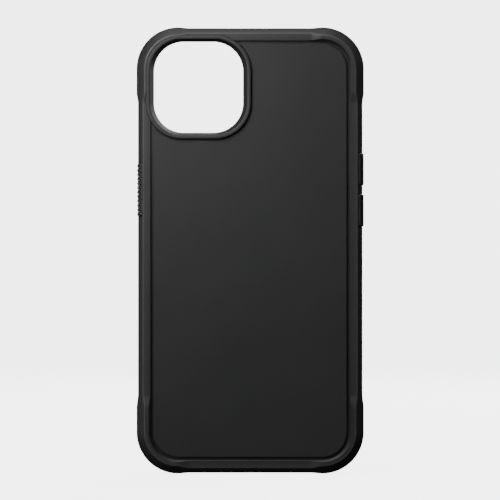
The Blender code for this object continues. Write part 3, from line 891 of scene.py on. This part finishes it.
    def bumper_cutters(self) -> list[bpy.types.Object]:
        """The solids to cut from the bumper: the cap's recess and room for its neck."""
        inner = self.plan.wall - self.fit - self.flange_thickness
        return [self.recess(), self.wall_box("neck_room", inner, self.wall - self.depth_in_wall, self.gap)]

    def chassis_cutters(self) -> list[bpy.types.Object]:
        """The window in the chassis's side wall that the flange moves in."""
        margin = self.flange_margin + self.flange_clearance
        return [self.wall_box("flange_room", -self.window_depth, self.plan.wall + self.fit, margin)]

    def heights(self) -> np.ndarray:
        """Places the cap's sections: on a quarter cosine in its round ends, evenly spaced between.

        Returns:
            (n,) places up the case.
        """
        low_end, high_end = self.ends()
        spacing = self.rib_spacing if self.ribbed else self.plain_spacing
        count = int((high_end - low_end - 2 * self.corner) / spacing)
        ramp = self.corner * (1 - np.cos(np.linspace(0, math.pi / 2, self.end_steps + 1)))
        between = np.linspace(low_end + self.corner, high_end - self.corner, count)[1:-1]
        return np.concatenate([low_end + ramp, between, high_end - ramp[::-1]])

    def pieces(self) -> list[Piece]:
        """The cap, with its neck and its flange joined on.

        Returns:
            The cap as one piece, which rides on its own body.
        """
        low_end, high_end = self.ends()
        heights = self.heights()
        inside = np.minimum(heights - low_end, high_end - heights)
        rise = np.sin(np.clip(inside / self.end_ramp, 0, 1) * math.pi / 2)
        base = (self.proud - self.rib_height if self.ribbed else self.proud) * rise
        sections = round_corners(self.sections(heights, base, 0.0, 0.0), np.array(self.corner_reach))
        if self.ribbed:
            sections = self.ribs(heights, sections, rise)
        cap = self.solid(self.piece_name, heights, sections)
        thick, outer = self.flange_thickness, self.plan.wall - self.fit
        neck = self.wall_box("neck", outer - thick / 2, self.wall - self.depth_in_wall / 2, 0.0)
        flange = self.wall_box("flange", outer - thick, outer, self.flange_margin)
        carve(cap, [neck, flange], Join.ADD)
        return [Piece(cap, BUTTON_POLYCARBONATE, "button", self.node, self.node, self.sharp_degrees)]

    def ribs(self, heights: np.ndarray, sections: np.ndarray, rise: np.ndarray) -> np.ndarray:
        """Subdivides the sections and raises the knurl on their outward faces.

        Each point moves along its normal by rib height x knurl x rise x the root of the normal's outward
        part, and never towards the front, where the recess's edge is. The chamfer starts at the first
        point whose normal leans towards the back.

        Args:
            heights: (n,) places up the case.
            sections: (n, m, 2) rounded sections.
            rise: (n,) share of the full height, falling to 0 at the cap's ends.

        Returns:
            (n, k, 2) sections with the knurl on.
        """
        edge, share = dense_steps(sections[len(sections) // 2], self.rib_section_spacing)
        dense = sections[:, edge] + (np.roll(sections, -1, axis=1) - sections)[:, edge] * share
        normal = section_normals(dense)
        step = np.linalg.norm(np.diff(dense, axis=1, prepend=dense[:, :1]), axis=-1)
        travelled = np.cumsum(step, axis=1)
        middle = normal[len(normal) // 2]
        turn = np.argmax((middle[:, 0] > 0.5) & (middle[:, 1] > 0.35))
        height = self.knurl(heights[:, None], travelled - travelled[:, turn:turn + 1])[..., None]
        outward = np.sqrt(np.clip(normal[..., 0:1], 0, None))
        push = np.stack([normal[..., 0], np.clip(normal[..., 1], 0.0, None)], axis=-1)
        return dense + push * outward * height * rise[:, None, None] * self.rib_height


@dataclass
class Bumper:
    """The soft frame: rear rim, side walls, front lip and four thicker corner blocks."""

    plan: PlanFrame
    opening: CameraOpening
    caps: list[ButtonCap]
    fit: float = 0.05 * MM
    wall: float = 2.46 * MM
    slim_rim_inset: float = 2.0 * MM
    rim_edge: float = 0.15 * MM
    corner_rim_inset: float = 1.3 * MM
    slim_chamfer: float = 1.76 * MM
    corner_chamfer: float = 2.76 * MM
    rim_above_plate: float = 0.5 * MM
    corner_above_rim: float = 0.45 * MM
    lip_height: float = 1.05 * MM
    lip_reach: float = 1.0 * MM
    lip_chamfer: float = 0.8 * MM
    chassis_chamfer: float = 0.5 * MM
    bulge_side: float = 0.5 * MM
    bulge_end: float = 0.325 * MM
    run_top: float = 8.5 * MM
    ramp_top: float = 3.1 * MM
    run_bottom: float = 8.7 * MM
    ramp_bottom: float = 4.0 * MM
    run_end: float = 0.25 * MM
    ramp_end: float = 3.5 * MM
    ring_gap: float = 0.08 * MM
    past_ring: float = 2.0 * MM
    opening_flare: float = 0.45 * MM
    cushion_half_angle: float = 31.4
    cushion_band: tuple[float, float] = (-0.4 * MM, 0.85 * MM)
    cushion_gap: float = 0.06 * MM
    # how far the painted crease highlight reaches from the crease
    highlight_reach: float = 0.3 * MM
    corner_steps: int = 44
    ramp_stations: int = 22
    side_stations: int = 24
    end_stations: int = 8
    past_ramp: float = 0.4 * MM
    side_start: float = 1.0 * MM
    end_first: float = 0.05 * MM
    end_start: float = 6.0 * MM
    edge_steps: int = 6
    corner_reach: tuple[float, ...] = tuple(
        reach * MM for reach in (0.05, 0.08, 0.12, 0.24, 0.5, 0.4, 0.4, 0.45, 0.2, 0.05, 0.05, 0.05))

    def path(self) -> tuple[np.ndarray, np.ndarray]:
        """Stations round the bay: closer together on the ramps and in the corners.

        Returns:
            (n, 2) points on the bay's outline and (n, 2) outward normals.
        """
        plan = self.plan
        tall, wide = plan.half_height - plan.radius, plan.half_width - plan.radius
        turn = np.linspace(0, math.pi / 2, self.corner_steps + 1)
        points, normals = [], []
        for right, up in ((1, 1), (-1, 1), (-1, -1), (1, -1)):
            run, ramp = (self.run_top, self.ramp_top) if up > 0 else (self.run_bottom, self.ramp_bottom)
            side = np.concatenate([
                np.linspace(run - self.past_ramp, run + ramp + self.past_ramp, self.ramp_stations),
                np.linspace(run + ramp + self.side_start, tall, self.side_stations)])
            end_ramp = self.run_end + self.ramp_end + self.past_ramp
            end = np.concatenate([
                np.linspace(self.end_first, end_ramp, self.ramp_stations),
                np.linspace(self.end_start, wide, self.end_stations)])
            side_xy = np.stack([np.full_like(side, plan.half_width), tall - side], axis=-1)[::-1]
            arc = np.stack([wide + plan.radius * np.cos(turn), tall + plan.radius * np.sin(turn)], axis=-1)
            end_xy = np.stack([wide - end, np.full_like(end, plan.half_height)], axis=-1)
            block_xy = np.concatenate([side_xy, arc, end_xy])
            block_out = np.concatenate([
                np.tile([1.0, 0.0], (len(side), 1)), np.stack([np.cos(turn), np.sin(turn)], axis=-1),
                np.tile([0.0, 1.0], (len(end), 1))])
            flip = slice(None) if right * up > 0 else slice(None, None, -1)
            points.append((block_xy * (right, up))[flip])
            normals.append((block_out * (right, up))[flip])
        xy, out = np.concatenate(points), np.concatenate(normals)
        keep = np.linalg.norm(xy - np.roll(xy, 1, axis=0), axis=-1) > 0.001 * MM
        return xy[keep] + (0.0, plan.middle), out[keep]

    def corner_share(self, points: np.ndarray) -> np.ndarray:
        """How much of a corner block each station has: 1 in it, 0 on a slim stretch, a ramp between.

        Args:
            points: (n, 2) points on the bay's outline.

        Returns:
            (n,) shares, the product of a ramp along the sides and one along the ends.
        """
        plan = self.plan
        up = points[:, 1] - plan.middle
        along_side = np.clip(plan.half_height - plan.radius - np.abs(up), 0, None)
        along_end = np.clip(plan.half_width - plan.radius - np.abs(points[:, 0]), 0, None)
        run = np.where(up > 0, self.run_top, self.run_bottom)
        ramp = np.where(up > 0, self.ramp_top, self.ramp_bottom)
        on_side = 1 - soft_ramp((along_side - run) / ramp)
        on_end = 1 - soft_ramp((along_end - self.run_end) / self.ramp_end)
        return on_side * on_end

    def faces(self, share: np.ndarray, lean: np.ndarray) -> tuple[np.ndarray, np.ndarray, np.ndarray]:
        """Where the outer faces lie, each a slim value plus the share of what a corner block adds.

        Args:
            share: (n,) corner shares.
            lean: (n,) 0 on the sides, 1 on the ends, and the turn between them in the corners.

        Returns:
            The side's offset from the bay, the chamfer's width and the rim's depth.
        """
        bulge = self.bulge_side + (self.bulge_end - self.bulge_side) * lean
        chamfer = self.slim_chamfer + (self.corner_chamfer - self.slim_chamfer) * share
        rim = self.plan.plate_back + self.rim_above_plate + self.corner_above_rim * share
        return self.wall + bulge * share, chamfer, rim

    def sections(self, share: np.ndarray, lean: np.ndarray) -> np.ndarray:
        """The rounded section at each station, from the rim's foot over the outside to the chassis.

        Args:
            share: (n,) corner shares.
            lean: (n,) 0 on the sides and 1 on the ends.

        Returns:
            (n, m, 2) points as offset from the bay and depth.
        """
        plan, one = self.plan, np.ones_like(share)
        outer, chamfer, rim = self.faces(share, lean)
        rim_base = -self.slim_rim_inset * one
        slope = self.slim_rim_inset - self.rim_edge - self.corner_rim_inset
        rim_inner = rim_base + self.rim_edge + slope * share
        foot = (plan.floor_back + self.fit) * one
        under = (plan.front + self.lip_height) * one
        inner = (plan.wall + self.fit) * one
        front = plan.front * one
        corners = [
            (rim_base, foot), (rim_base, (plan.plate_back + self.rim_above_plate - self.rim_edge) * one),
            (rim_inner, rim), (outer - chamfer, rim), (outer, rim - chamfer),
            (outer, front + self.lip_chamfer), (outer - self.lip_chamfer, front),
            (-self.lip_reach * one, front), (-self.lip_reach * one, under), (inner, under),
            (inner, (plan.floor_back - self.chassis_chamfer) * one), (inner - self.chassis_chamfer, foot),
        ]
        stacked = np.stack([np.stack(corner, axis=-1) for corner in corners], axis=1)
        return round_corners(stacked, np.array(self.corner_reach), self.edge_steps)

    def shell(self) -> bpy.types.Object:
        """Carries the sections round the bay: place = station + outward normal times offset.

        Returns:
            The frame before anything is cut from it.
        """
        points, out = self.path()
        lean = np.arctan2(np.abs(out[:, 1]), np.abs(out[:, 0])) / (math.pi / 2)
        sections = self.sections(self.corner_share(points), lean)
        xy = points[:, None, :] + out[:, None, :] * sections[..., 0:1]
        surface = np.concatenate([xy, sections[..., 1:2]], axis=-1)
        return grid_object("bumper_frame", self.plan.world(surface), wrap_rows=True)

    def cushion_pockets(self) -> list[bpy.types.Object]:
        """Pockets for the shock inserts, as bands between two arcs about each corner's centre.

        Returns:
            One cutter for each corner.
        """
        made, plan = [], self.plan
        turn = math.radians(45) + np.linspace(-1, 1, 21) * math.radians(self.cushion_half_angle)
        inner, outer = (plan.radius + plan.wall + edge for edge in self.cushion_band)
        for name in ("top_right", "top_left", "bottom_left", "bottom_right"):
            low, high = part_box(f"corner_cushion_{name}")
            sides = np.array([1 if "right" in name else -1, 1 if "top" in name else -1])
            inset = np.array([plan.half_width - plan.radius, plan.half_height - plan.radius])
            centre = sides * inset + (0.0, plan.middle)
            ray = sides * np.stack([np.cos(turn), np.sin(turn)], axis=-1)
            band = np.concatenate([centre + ray * outer, (centre + ray * inner)[::-1]])
            front, back = plan.zero_y - high.y - self.cushion_gap, plan.zero_y - low.y + self.cushion_gap
            made.append(prism(f"pocket_{name}", plan, [(band, front), (band, back)]))
        return made

    def pieces(self) -> list[Piece]:
        """The frame with its ring seat, button recesses, pockets and openings cut.

        Returns:
            The frame as one piece.
        """
        frame_obj, plan = self.shell(), self.plan
        seat = self.opening.outline(self.opening.face + self.ring_gap)
        cutters = [prism("ring_seat", plan, [(seat, plan.floor_front), (seat, plan.ring_back + self.past_ring)])]
        for cap in self.caps:
            cutters += cap.bumper_cutters()
        cutters += self.cushion_pockets() + Openings(plan, self.wall, flare=self.opening_flare).cutters()
        carve(frame_obj, cutters)
        # paints a highlight along the crease between rim and chamfer
        self.mark_crease_highlight(frame_obj)
        return [Piece(frame_obj, BUMPER_TPE, "soft_bumper", "outer_bumper")]

    def mark_crease_highlight(self, obj: bpy.types.Object) -> None:
        """Stores crease_highlight_and_gloss on every point: 1 on the crease between rim and chamfer, 0 past
        highlight_reach. This mask paints a highlight along the crease.

        A point's offset from the bay is |max(q, 0)| - radius, where q is how far it lies past the corner
        centres, and its mask value is 1 - distance / highlight_reach from the crease of the section it is on.

        Args:
            obj: the finished frame.
        """
        plan = self.plan
        flat = np.empty(len(obj.data.vertices) * 3, np.float32)
        obj.data.vertices.foreach_get("co", flat)
        x, y, z = flat.reshape(-1, 3).astype(float).T
        past_side = np.maximum(np.abs(x) - plan.half_width + plan.radius, 0.0)
        past_end = np.maximum(np.abs(z - plan.middle) - plan.half_height + plan.radius, 0.0)
        offset, depth = np.hypot(past_side, past_end) - plan.radius, plan.zero_y - y
        lean = np.arctan2(past_end, past_side) / (math.pi / 2)
        outer, chamfer, rim = self.faces(self.corner_share(np.column_stack([x, z])), lean)
        crease_mask = 1 - np.hypot(offset - (outer - chamfer), depth - rim) / self.highlight_reach
        attribute = obj.data.attributes.new("crease_highlight_and_gloss", "FLOAT", "POINT")
        attribute.data.foreach_set("value", np.clip(crease_mask, 0.0, 1.0).astype(np.float32))


@dataclass
class Openings:
    """The charging port, the speaker slots and the switch window, as cutters."""

    plan: PlanFrame
    wall: float
    flare: float = 0.0
    phone_middle: float = -3.9 * MM
    port: tuple[float, float] = (13.5 * MM, 6.4 * MM)
    speaker: tuple[float, float] = (12.5 * MM, 3.0 * MM)
    speaker_offset: float = 18.0 * MM
    switch: tuple[float, float] = (5.5 * MM, 11.0 * MM)
    switch_above_middle: float = 40.6 * MM
    roundness: float = 0.45
    inward: float = 3.0 * MM
    outward: float = 2.0 * MM
    corner_steps: int = 10

    def levels(self) -> list[tuple[float, float]]:
        """(offset from the bay, growth) from inside the bay out past the wall."""
        widest = self.flare + self.outward if self.flare else 0.0
        return [(-self.inward, 0.0), (self.wall - self.flare, 0.0), (self.wall + self.outward, widest)]

    def cutter(self, name: str, place: tuple[float, float], size: tuple[float, float], round_of: float,
               on_side: bool) -> bpy.types.Object:
        """A slot through one wall: its rounded outline at each level, grown where the slot flares.

        Args:
            name: the object's name.
            place: middle of the outline, as (x, depth) at the bottom or (depth, height) on the side.
            size: the outline's two lengths.
            round_of: the length that roundness gives the corner radius as a share of.
            on_side: whether the slot is in the right-hand wall, not the bottom one.

        Returns:
            The cutter.
        """
        plan, rows = self.plan, []
        for offset, growth in self.levels():
            loop = rounded_outline(size[0] / 2 + growth, size[1] / 2 + growth,
                                   round_of * self.roundness + growth, place, self.corner_steps)
            if on_side:
                wall = np.full(len(loop), plan.half_width + offset)
                rows.append(np.stack([wall, loop[:, 1], loop[:, 0]], axis=-1))
            else:
                wall = np.full(len(loop), plan.middle - plan.half_height - offset)
                rows.append(np.stack([loop[:, 0], wall, loop[:, 1]], axis=-1))
        return grid_object(name, plan.world(np.stack(rows)), wrap_rows=False)

    def cutters(self) -> list[bpy.types.Object]:
        """All four cutters.

        Returns:
            The port's, the two speaker slots' and the switch window's.
        """
        depth = self.phone_middle
        height = self.plan.middle + self.switch_above_middle
        return [
            self.cutter("port", (0.0, depth), self.port, self.port[1], False),
            self.cutter("speaker_left", (-self.speaker_offset, depth), self.speaker, self.speaker[1], False),
            self.cutter("speaker_right", (self.speaker_offset, depth), self.speaker, self.speaker[1], False),
            self.cutter("switch", (depth, height), self.switch, self.switch[0], True),
        ]


@dataclass
class Chassis:
    """The hard tray that holds the phone: floor, side walls, windows and the magnet pocket."""

    plan: PlanFrame
    opening: CameraOpening
    caps: list[ButtonCap]
    chamfer: float = 0.5 * MM
    lip_height: float = 1.05 * MM
    fillet: float = 0.35 * MM
    fillet_steps: int = 6
    fit: float = 0.05 * MM
    pocket_margin: float = 0.3 * MM
    pocket_inner_radius: float = 22.5 * MM
    pocket_steps: int = 96
    bar_margin: float = 0.1 * MM
    bar_radius: float = 1.0 * MM
    past_floor: float = 1.0 * MM
    past_wall: float = 2.0 * MM

    def magnet_pockets(self) -> list[bpy.types.Object]:
        """A ring-shaped and a bar-shaped pocket in the back of the floor.

        Returns:
            The two cutters.
        """
        plan = self.plan
        low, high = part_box("magnet_carrier_film")
        bar_low, bar_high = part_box("alignment_magnet")
        outer, inner = (high.x - low.x) / 2 + self.pocket_margin, self.pocket_inner_radius
        angle = np.linspace(0, 2 * math.pi, self.pocket_steps + 1)[:-1]
        circle = np.stack([np.cos(angle), np.sin(angle)], axis=-1)
        floor, over = plan.zero_y - high.y - self.fit, plan.floor_back + self.past_floor
        rows = [at_depth(circle * radius + (0, plan.middle), depth)
                for radius, depth in ((outer, floor), (outer, over), (inner, over), (inner, floor))]
        ring = grid_object("magnet_pocket", plan.world(np.stack(rows)), wrap_rows=True)
        bar = rounded_outline(
            (bar_high.x - bar_low.x) / 2 + self.bar_margin, (bar_high.z - bar_low.z) / 2 + self.bar_margin,
            self.bar_radius, (0.0, (bar_low.z + bar_high.z) / 2), 6,
        )
        return [ring, prism("bar_pocket", plan, [(bar, plan.zero_y - bar_high.y - self.fit), (bar, over)])]

    def pieces(self) -> list[Piece]:
        """The tray: an outer solid with the bay, the camera hole, windows and pockets cut out.

        The bay's floor meets its walls in a quarter round: in by f(1 - cos t), down by f(1 - sin t).

        Returns:
            The tray as one piece.
        """
        plan, fillet = self.plan, self.fillet
        front = plan.front + self.lip_height + self.fit
        tray = prism("chassis_tray", plan, [
            (plan.outline(plan.wall), front), (plan.outline(plan.wall), plan.floor_back - self.chamfer),
            (plan.outline(plan.wall - self.chamfer), plan.floor_back)])
        bay = [(plan.outline(0.0), front - self.past_wall)]
        for t in np.linspace(0, math.pi / 2, self.fillet_steps + 1):
            depth = plan.floor_front - fillet * (1 - math.sin(t))
            bay.append((plan.outline(-fillet * (1 - math.cos(t))), depth))
        hole = self.opening.hole()
        cutters = [
            prism("bay", plan, bay),
            prism("camera_hole", plan, [(hole, 0.0), (hole, plan.floor_back + self.past_wall)]),
        ]
        for cap in self.caps:
            cutters += cap.chassis_cutters()
        cutters += self.magnet_pockets() + Openings(plan, plan.wall).cutters()
        carve(tray, cutters)
        return [Piece(tray, CHASSIS_POLYCARBONATE, "hard_shell", "inner_chassis")]


@dataclass
class BackPlate:
    """The matte back plate, cut away round the guard ring, with a softened edge."""

    plan: PlanFrame
    opening: CameraOpening
    inset: float = 2.9 * MM
    ring_gap: float = 0.35 * MM
    edge: float = 0.18 * MM
    edge_steps: int = 4
    support: float = 0.004
    first_row: float = 0.03
    rows: int = 12
    past_face: float = 1.0 * MM

    def rounding(self) -> list[tuple[float, float]]:
        """A quarter round in steps, from the plate's side up to its face: in by e(1 - cos t), up by e sin t.

        Returns:
            (offset inwards, depth) of each step.
        """
        turn = np.linspace(0, math.pi / 2, self.edge_steps + 1)
        inwards, short = self.edge * (1 - np.cos(turn)), self.edge * (1 - np.sin(turn))
        return list(zip(inwards.tolist(), (self.plan.plate_back - short).tolist()))

    def ring_clearance(self) -> bpy.types.Object:
        """The guard ring's outline with its gap, flared at the plate's face to round that edge too.

        Returns:
            The cutter.
        """
        clear = self.opening.face + self.ring_gap
        steps = [(clear, 0.0)] + [(clear + inwards, depth) for inwards, depth in self.rounding()]
        steps.append((clear + self.edge, self.plan.plate_back + self.past_face))
        loops = [(self.opening.outline(offset), depth) for offset, depth in steps]
        return prism("ring_clearance", self.plan, loops)

    def pieces(self) -> list[Piece]:
        """Draws loops in towards the middle under the plate and over its face, and cuts the ring's room.

        A loop is outline x (1 - share) + centre x share. The first share on the face is tiny, so that
        the shading of the round edge stops there.

        Returns:
            The plate as one piece.
        """
        plan = self.plan
        low = plan.zero_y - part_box("rear_plate")[1].y
        loop, centre = plan.outline(-self.inset), np.array([0.0, plan.middle])
        rim = [at_depth(plan.outline(-self.inset - inwards), depth) for inwards, depth in self.rounding()]
        shares = np.concatenate([[0.0, self.support], np.linspace(self.first_row, 1.0, self.rows)])
        face = [at_depth(rim[-1][:, :2] * (1 - s) + centre * s, plan.plate_back) for s in shares[1:]]
        under = [at_depth(loop * (1 - s) + centre * s, low) for s in shares[::-1]]
        plate = grid_object("back_plate", plan.world(np.stack(under + rim + face)), wrap_rows=False)
        carve(plate, [self.ring_clearance()])
        return [Piece(plate, PLATE_SOFT_TOUCH, "back_plate", "rear_plate")]


@dataclass
class Lining:
    """The microfibre sheet on the chassis floor, with a hole that clears the camera."""

    plan: PlanFrame
    opening: CameraOpening
    inset: float = 0.3 * MM
    hole_margin: float = 0.5 * MM
    rows: int = 14
    nap: float = 0.03 * MM
    ripple: tuple[float, float] = (6.0 * MM, 9.0 * MM)

    def pieces(self) -> list[Piece]:
        """Blends from the sheet's outer edge to the hole's edge, over the top and back underneath.

        The face dips by nap x (1 + sin(x / a) cos(height / b)) / 2, with a and b the ripple's lengths.

        Returns:
            The sheet as one piece.
        """
        plan = self.plan
        outer, hole = plan.outline(-self.inset), self.opening.hole(self.hole_margin)
        share = np.linspace(0, 1, self.rows)[:, None, None]
        across = outer[None] * (1 - share) + hole[None] * share
        low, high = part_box("microfibre_lining")
        back = plan.zero_y - low.y
        x, height = across[..., 0:1], across[..., 1:2]
        wave = self.nap * (0.5 + 0.5 * np.sin(x / self.ripple[0]) * np.cos(height / self.ripple[1]))
        face = np.concatenate([across, wave], axis=-1)
        under = np.concatenate([across, np.full_like(wave, back)], axis=-1)[::-1]
        sheet = grid_object("lining_sheet", plan.world(np.concatenate([face, under])), wrap_rows=True)
        return [Piece(sheet, LINING_MICROFIBRE, "lining", "microfibre_lining")]


@dataclass
class HiddenPieces:
    """CAD nodes that keep their shape and get their finish: magnets, films and shock inserts."""

    finishes: dict[str, Finish] = field(default_factory=lambda: {
        "ring_magnet": MAGNET_NICKEL, "alignment_magnet": MAGNET_NICKEL, "corner_cushion": CUSHION_FOAM,
        "magnet_carrier_film": FILM_ADHESIVE, "plate_bonding_film": FILM_ADHESIVE,
    })

    def dress(self) -> None:
        """Assigns each node the finish that its name starts with."""
        for name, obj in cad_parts.items():
            for start, finish in self.finishes.items():
                if name.startswith(start):
                    obj.data.materials.clear()
                    obj.data.materials.append(finish.material())
                    LOG.info("%s: keeps its CAD shape, finish %s", name, finish.name)


# ---------------------------------------------------------------- studio


@dataclass
class Softbox:
    """A square area light that faces the case."""

    name: str
    place: tuple[float, float, float]
    size: float
    power: float
    aim: tuple[float, float, float] = (0.0, 0.0, 0.076)

    def build(self) -> None:
        """Adds the light, turned so that its -Z axis points at its aim."""
        light = bpy.data.lights.new(self.name, "AREA")
        light.shape = "SQUARE"
        light.size = self.size
        light.energy = self.power
        obj = bpy.data.objects.new(self.name, light)
        obj.location = self.place
        obj.rotation_euler = direction(self.aim, self.place)
        obj.visible_camera = False
        bpy.context.scene.collection.objects.link(obj)


def direction(target: tuple[float, float, float],
              origin: tuple[float, float, float]) -> tuple[float, float, float]:
    """Euler angles that point an object's -Z axis from origin to target.

    Args:
        target: point to look at.
        origin: where the object is.

    Returns:
        Rotation about X, Y and Z in radians: a tilt from straight down, then a turn about the vertical.
    """
    x, y, z = (a - b for a, b in zip(target, origin))
    return (math.atan2(math.hypot(x, y), -z), 0.0, math.atan2(y, x) - math.pi / 2)


@dataclass
class Studio:
    """Camera, pale surroundings, floor and soft lights."""

    view_width: float = 170.9 * MM
    lens: float = 300.0
    sensor: float = 36.0
    middle: tuple[float, float] = (-0.08 * MM, 76.45 * MM)
    surround: float = 4.5
    ambient: float = 0.03
    floor_size: float = 6.0
    floor_gap: float = 0.02 * MM
    clip: tuple[float, float] = (0.01, 50.0)
    floor_lit: float = 0.1
    softboxes: tuple[Softbox, ...] = (
        Softbox("key_upper_left", (-0.36, -0.62, 0.52), 0.35, 2.6),
        Softbox("near_upper_left", (-0.06, -0.13, 0.17), 0.12, 0.115),
        Softbox("front_fill", (-0.45, -1.15, 0.30), 0.7, 1.6),
        Softbox("top", (-0.1, -0.15, 0.75), 0.6, 2.0),
        Softbox("left_side", (-0.85, 0.15, 0.15), 0.5, 0.5),
        Softbox("right_side", (0.80, 0.85, 0.35), 0.5, 3.0),
        Softbox("behind", (0.35, 0.8, 0.55), 0.6, 8.0),
    )

    def build(self) -> None:
        """Adds everything that isn't the case."""
        self.camera()
        self.world()
        self.floor()
        for box in self.softboxes:
            box.build()

    def camera(self) -> None:
        """A long lens square to the back, far enough away to take in view_width at the case."""
        data = bpy.data.cameras.new("camera")
        data.lens, data.sensor_width = self.lens, self.sensor
        data.clip_start, data.clip_end = self.clip
        camera = bpy.data.objects.new("camera", data)
        distance = self.view_width * self.lens / self.sensor
        camera.location = (self.middle[0], CAD_BOX[0].y / 2 - distance, self.middle[1])
        camera.rotation_euler = (math.pi / 2, 0.0, 0.0)
        bpy.context.scene.collection.objects.link(camera)
        bpy.context.scene.camera = camera

    def world(self) -> None:
        """White where it is seen directly, and a faint ambient light for everything else."""
        world = bpy.data.worlds.new("studio")
        world.use_nodes = True
        tree = world.node_tree
        tree.nodes.clear()
        seen = add_node(tree, "ShaderNodeLightPath").outputs["Is Camera Ray"]
        white = (1.0, 1.0, 1.0, 1.0)
        bright = add_node(tree, "ShaderNodeBackground", {}, {"Color": white, "Strength": self.surround})
        faint = add_node(tree, "ShaderNodeBackground", {}, {"Color": white, "Strength": self.ambient})
        both = add_node(tree, "ShaderNodeMixShader", {}, {0: seen, 1: faint.outputs[0], 2: bright.outputs[0]})
        add_node(tree, "ShaderNodeOutputWorld", {}, {"Surface": both.outputs[0]})
        bpy.context.scene.world = world

    def floor(self) -> None:
        """A pale floor that is seen and takes shadows, but throws no light back on the case."""
        mesh = bpy.data.meshes.new("floor")
        half, low = self.floor_size / 2, CAD_BOX[0].z - self.floor_gap
        corners = [(-half, -half, low), (half, -half, low), (half, half, low), (-half, half, low)]
        mesh.from_pydata(corners, [], [(0, 1, 2, 3)])
        floor = bpy.data.objects.new("floor", mesh)
        bpy.context.scene.collection.objects.link(floor)
        material = bpy.data.materials.new("pale_floor")
        material.use_nodes = True
        shader = material.node_tree.nodes["Principled BSDF"]
        shader.inputs["Base Color"].default_value = linear("#d0d0d0")
        shader.inputs["Roughness"].default_value = 0.9
        shader.inputs["Emission Color"].default_value = (1, 1, 1, 1)
        shader.inputs["Emission Strength"].default_value = self.surround - self.floor_lit
        mesh.materials.append(material)
        floor.visible_diffuse = floor.visible_glossy = False


# ---------------------------------------------------------------- the case


def button_caps(plan: PlanFrame, wall: float, slim_rim: float, chamfer: float) -> list[ButtonCap]:
    """The three caps: a ribbed power button on the left, two smooth volume buttons on the right.

    Args:
        plan: the plan frame.
        wall: offset of the bumper's side from the bay.
        slim_rim: depth of the slim rim's face.
        chamfer: width of the slim chamfer.

    Returns:
        The caps, not yet built.
    """
    shared = {"plan": plan, "wall": wall, "slim_rim": slim_rim, "chamfer": chamfer}
    return [
        ButtonCap(node="power_button", piece_name="power_cap", side=-1, ribbed=True, end_ramp=1.0 * MM,
                  proud=0.43 * MM, **shared),
        ButtonCap(node="volume_up_button", piece_name="volume_up_cap", side=1, **shared),
        ButtonCap(node="volume_down_button", piece_name="volume_down_cap", side=1, **shared),
    ]


def main() -> None:
    """Builds the studio, then each sub-assembly in order, and reports every piece."""
    logging.basicConfig(level=logging.INFO, format="%(name)s %(message)s")
    Studio().build()
    plan = PlanFrame.from_boxes()
    opening = CameraOpening()
    sizes = Bumper(plan, opening, [])
    caps = button_caps(plan, sizes.wall, plan.plate_back + sizes.rim_above_plate, sizes.slim_chamfer)
    assemblies = [
        Bumper(plan, opening, caps), Chassis(plan, opening, caps), BackPlate(plan, opening),
        GuardRing(plan, opening), Lining(plan, opening), *caps,
    ]
    for assembly in assemblies:
        for piece in assembly.pieces():
            piece.register()
    HiddenPieces().dress()


if __name__ == "__main__":
    main()
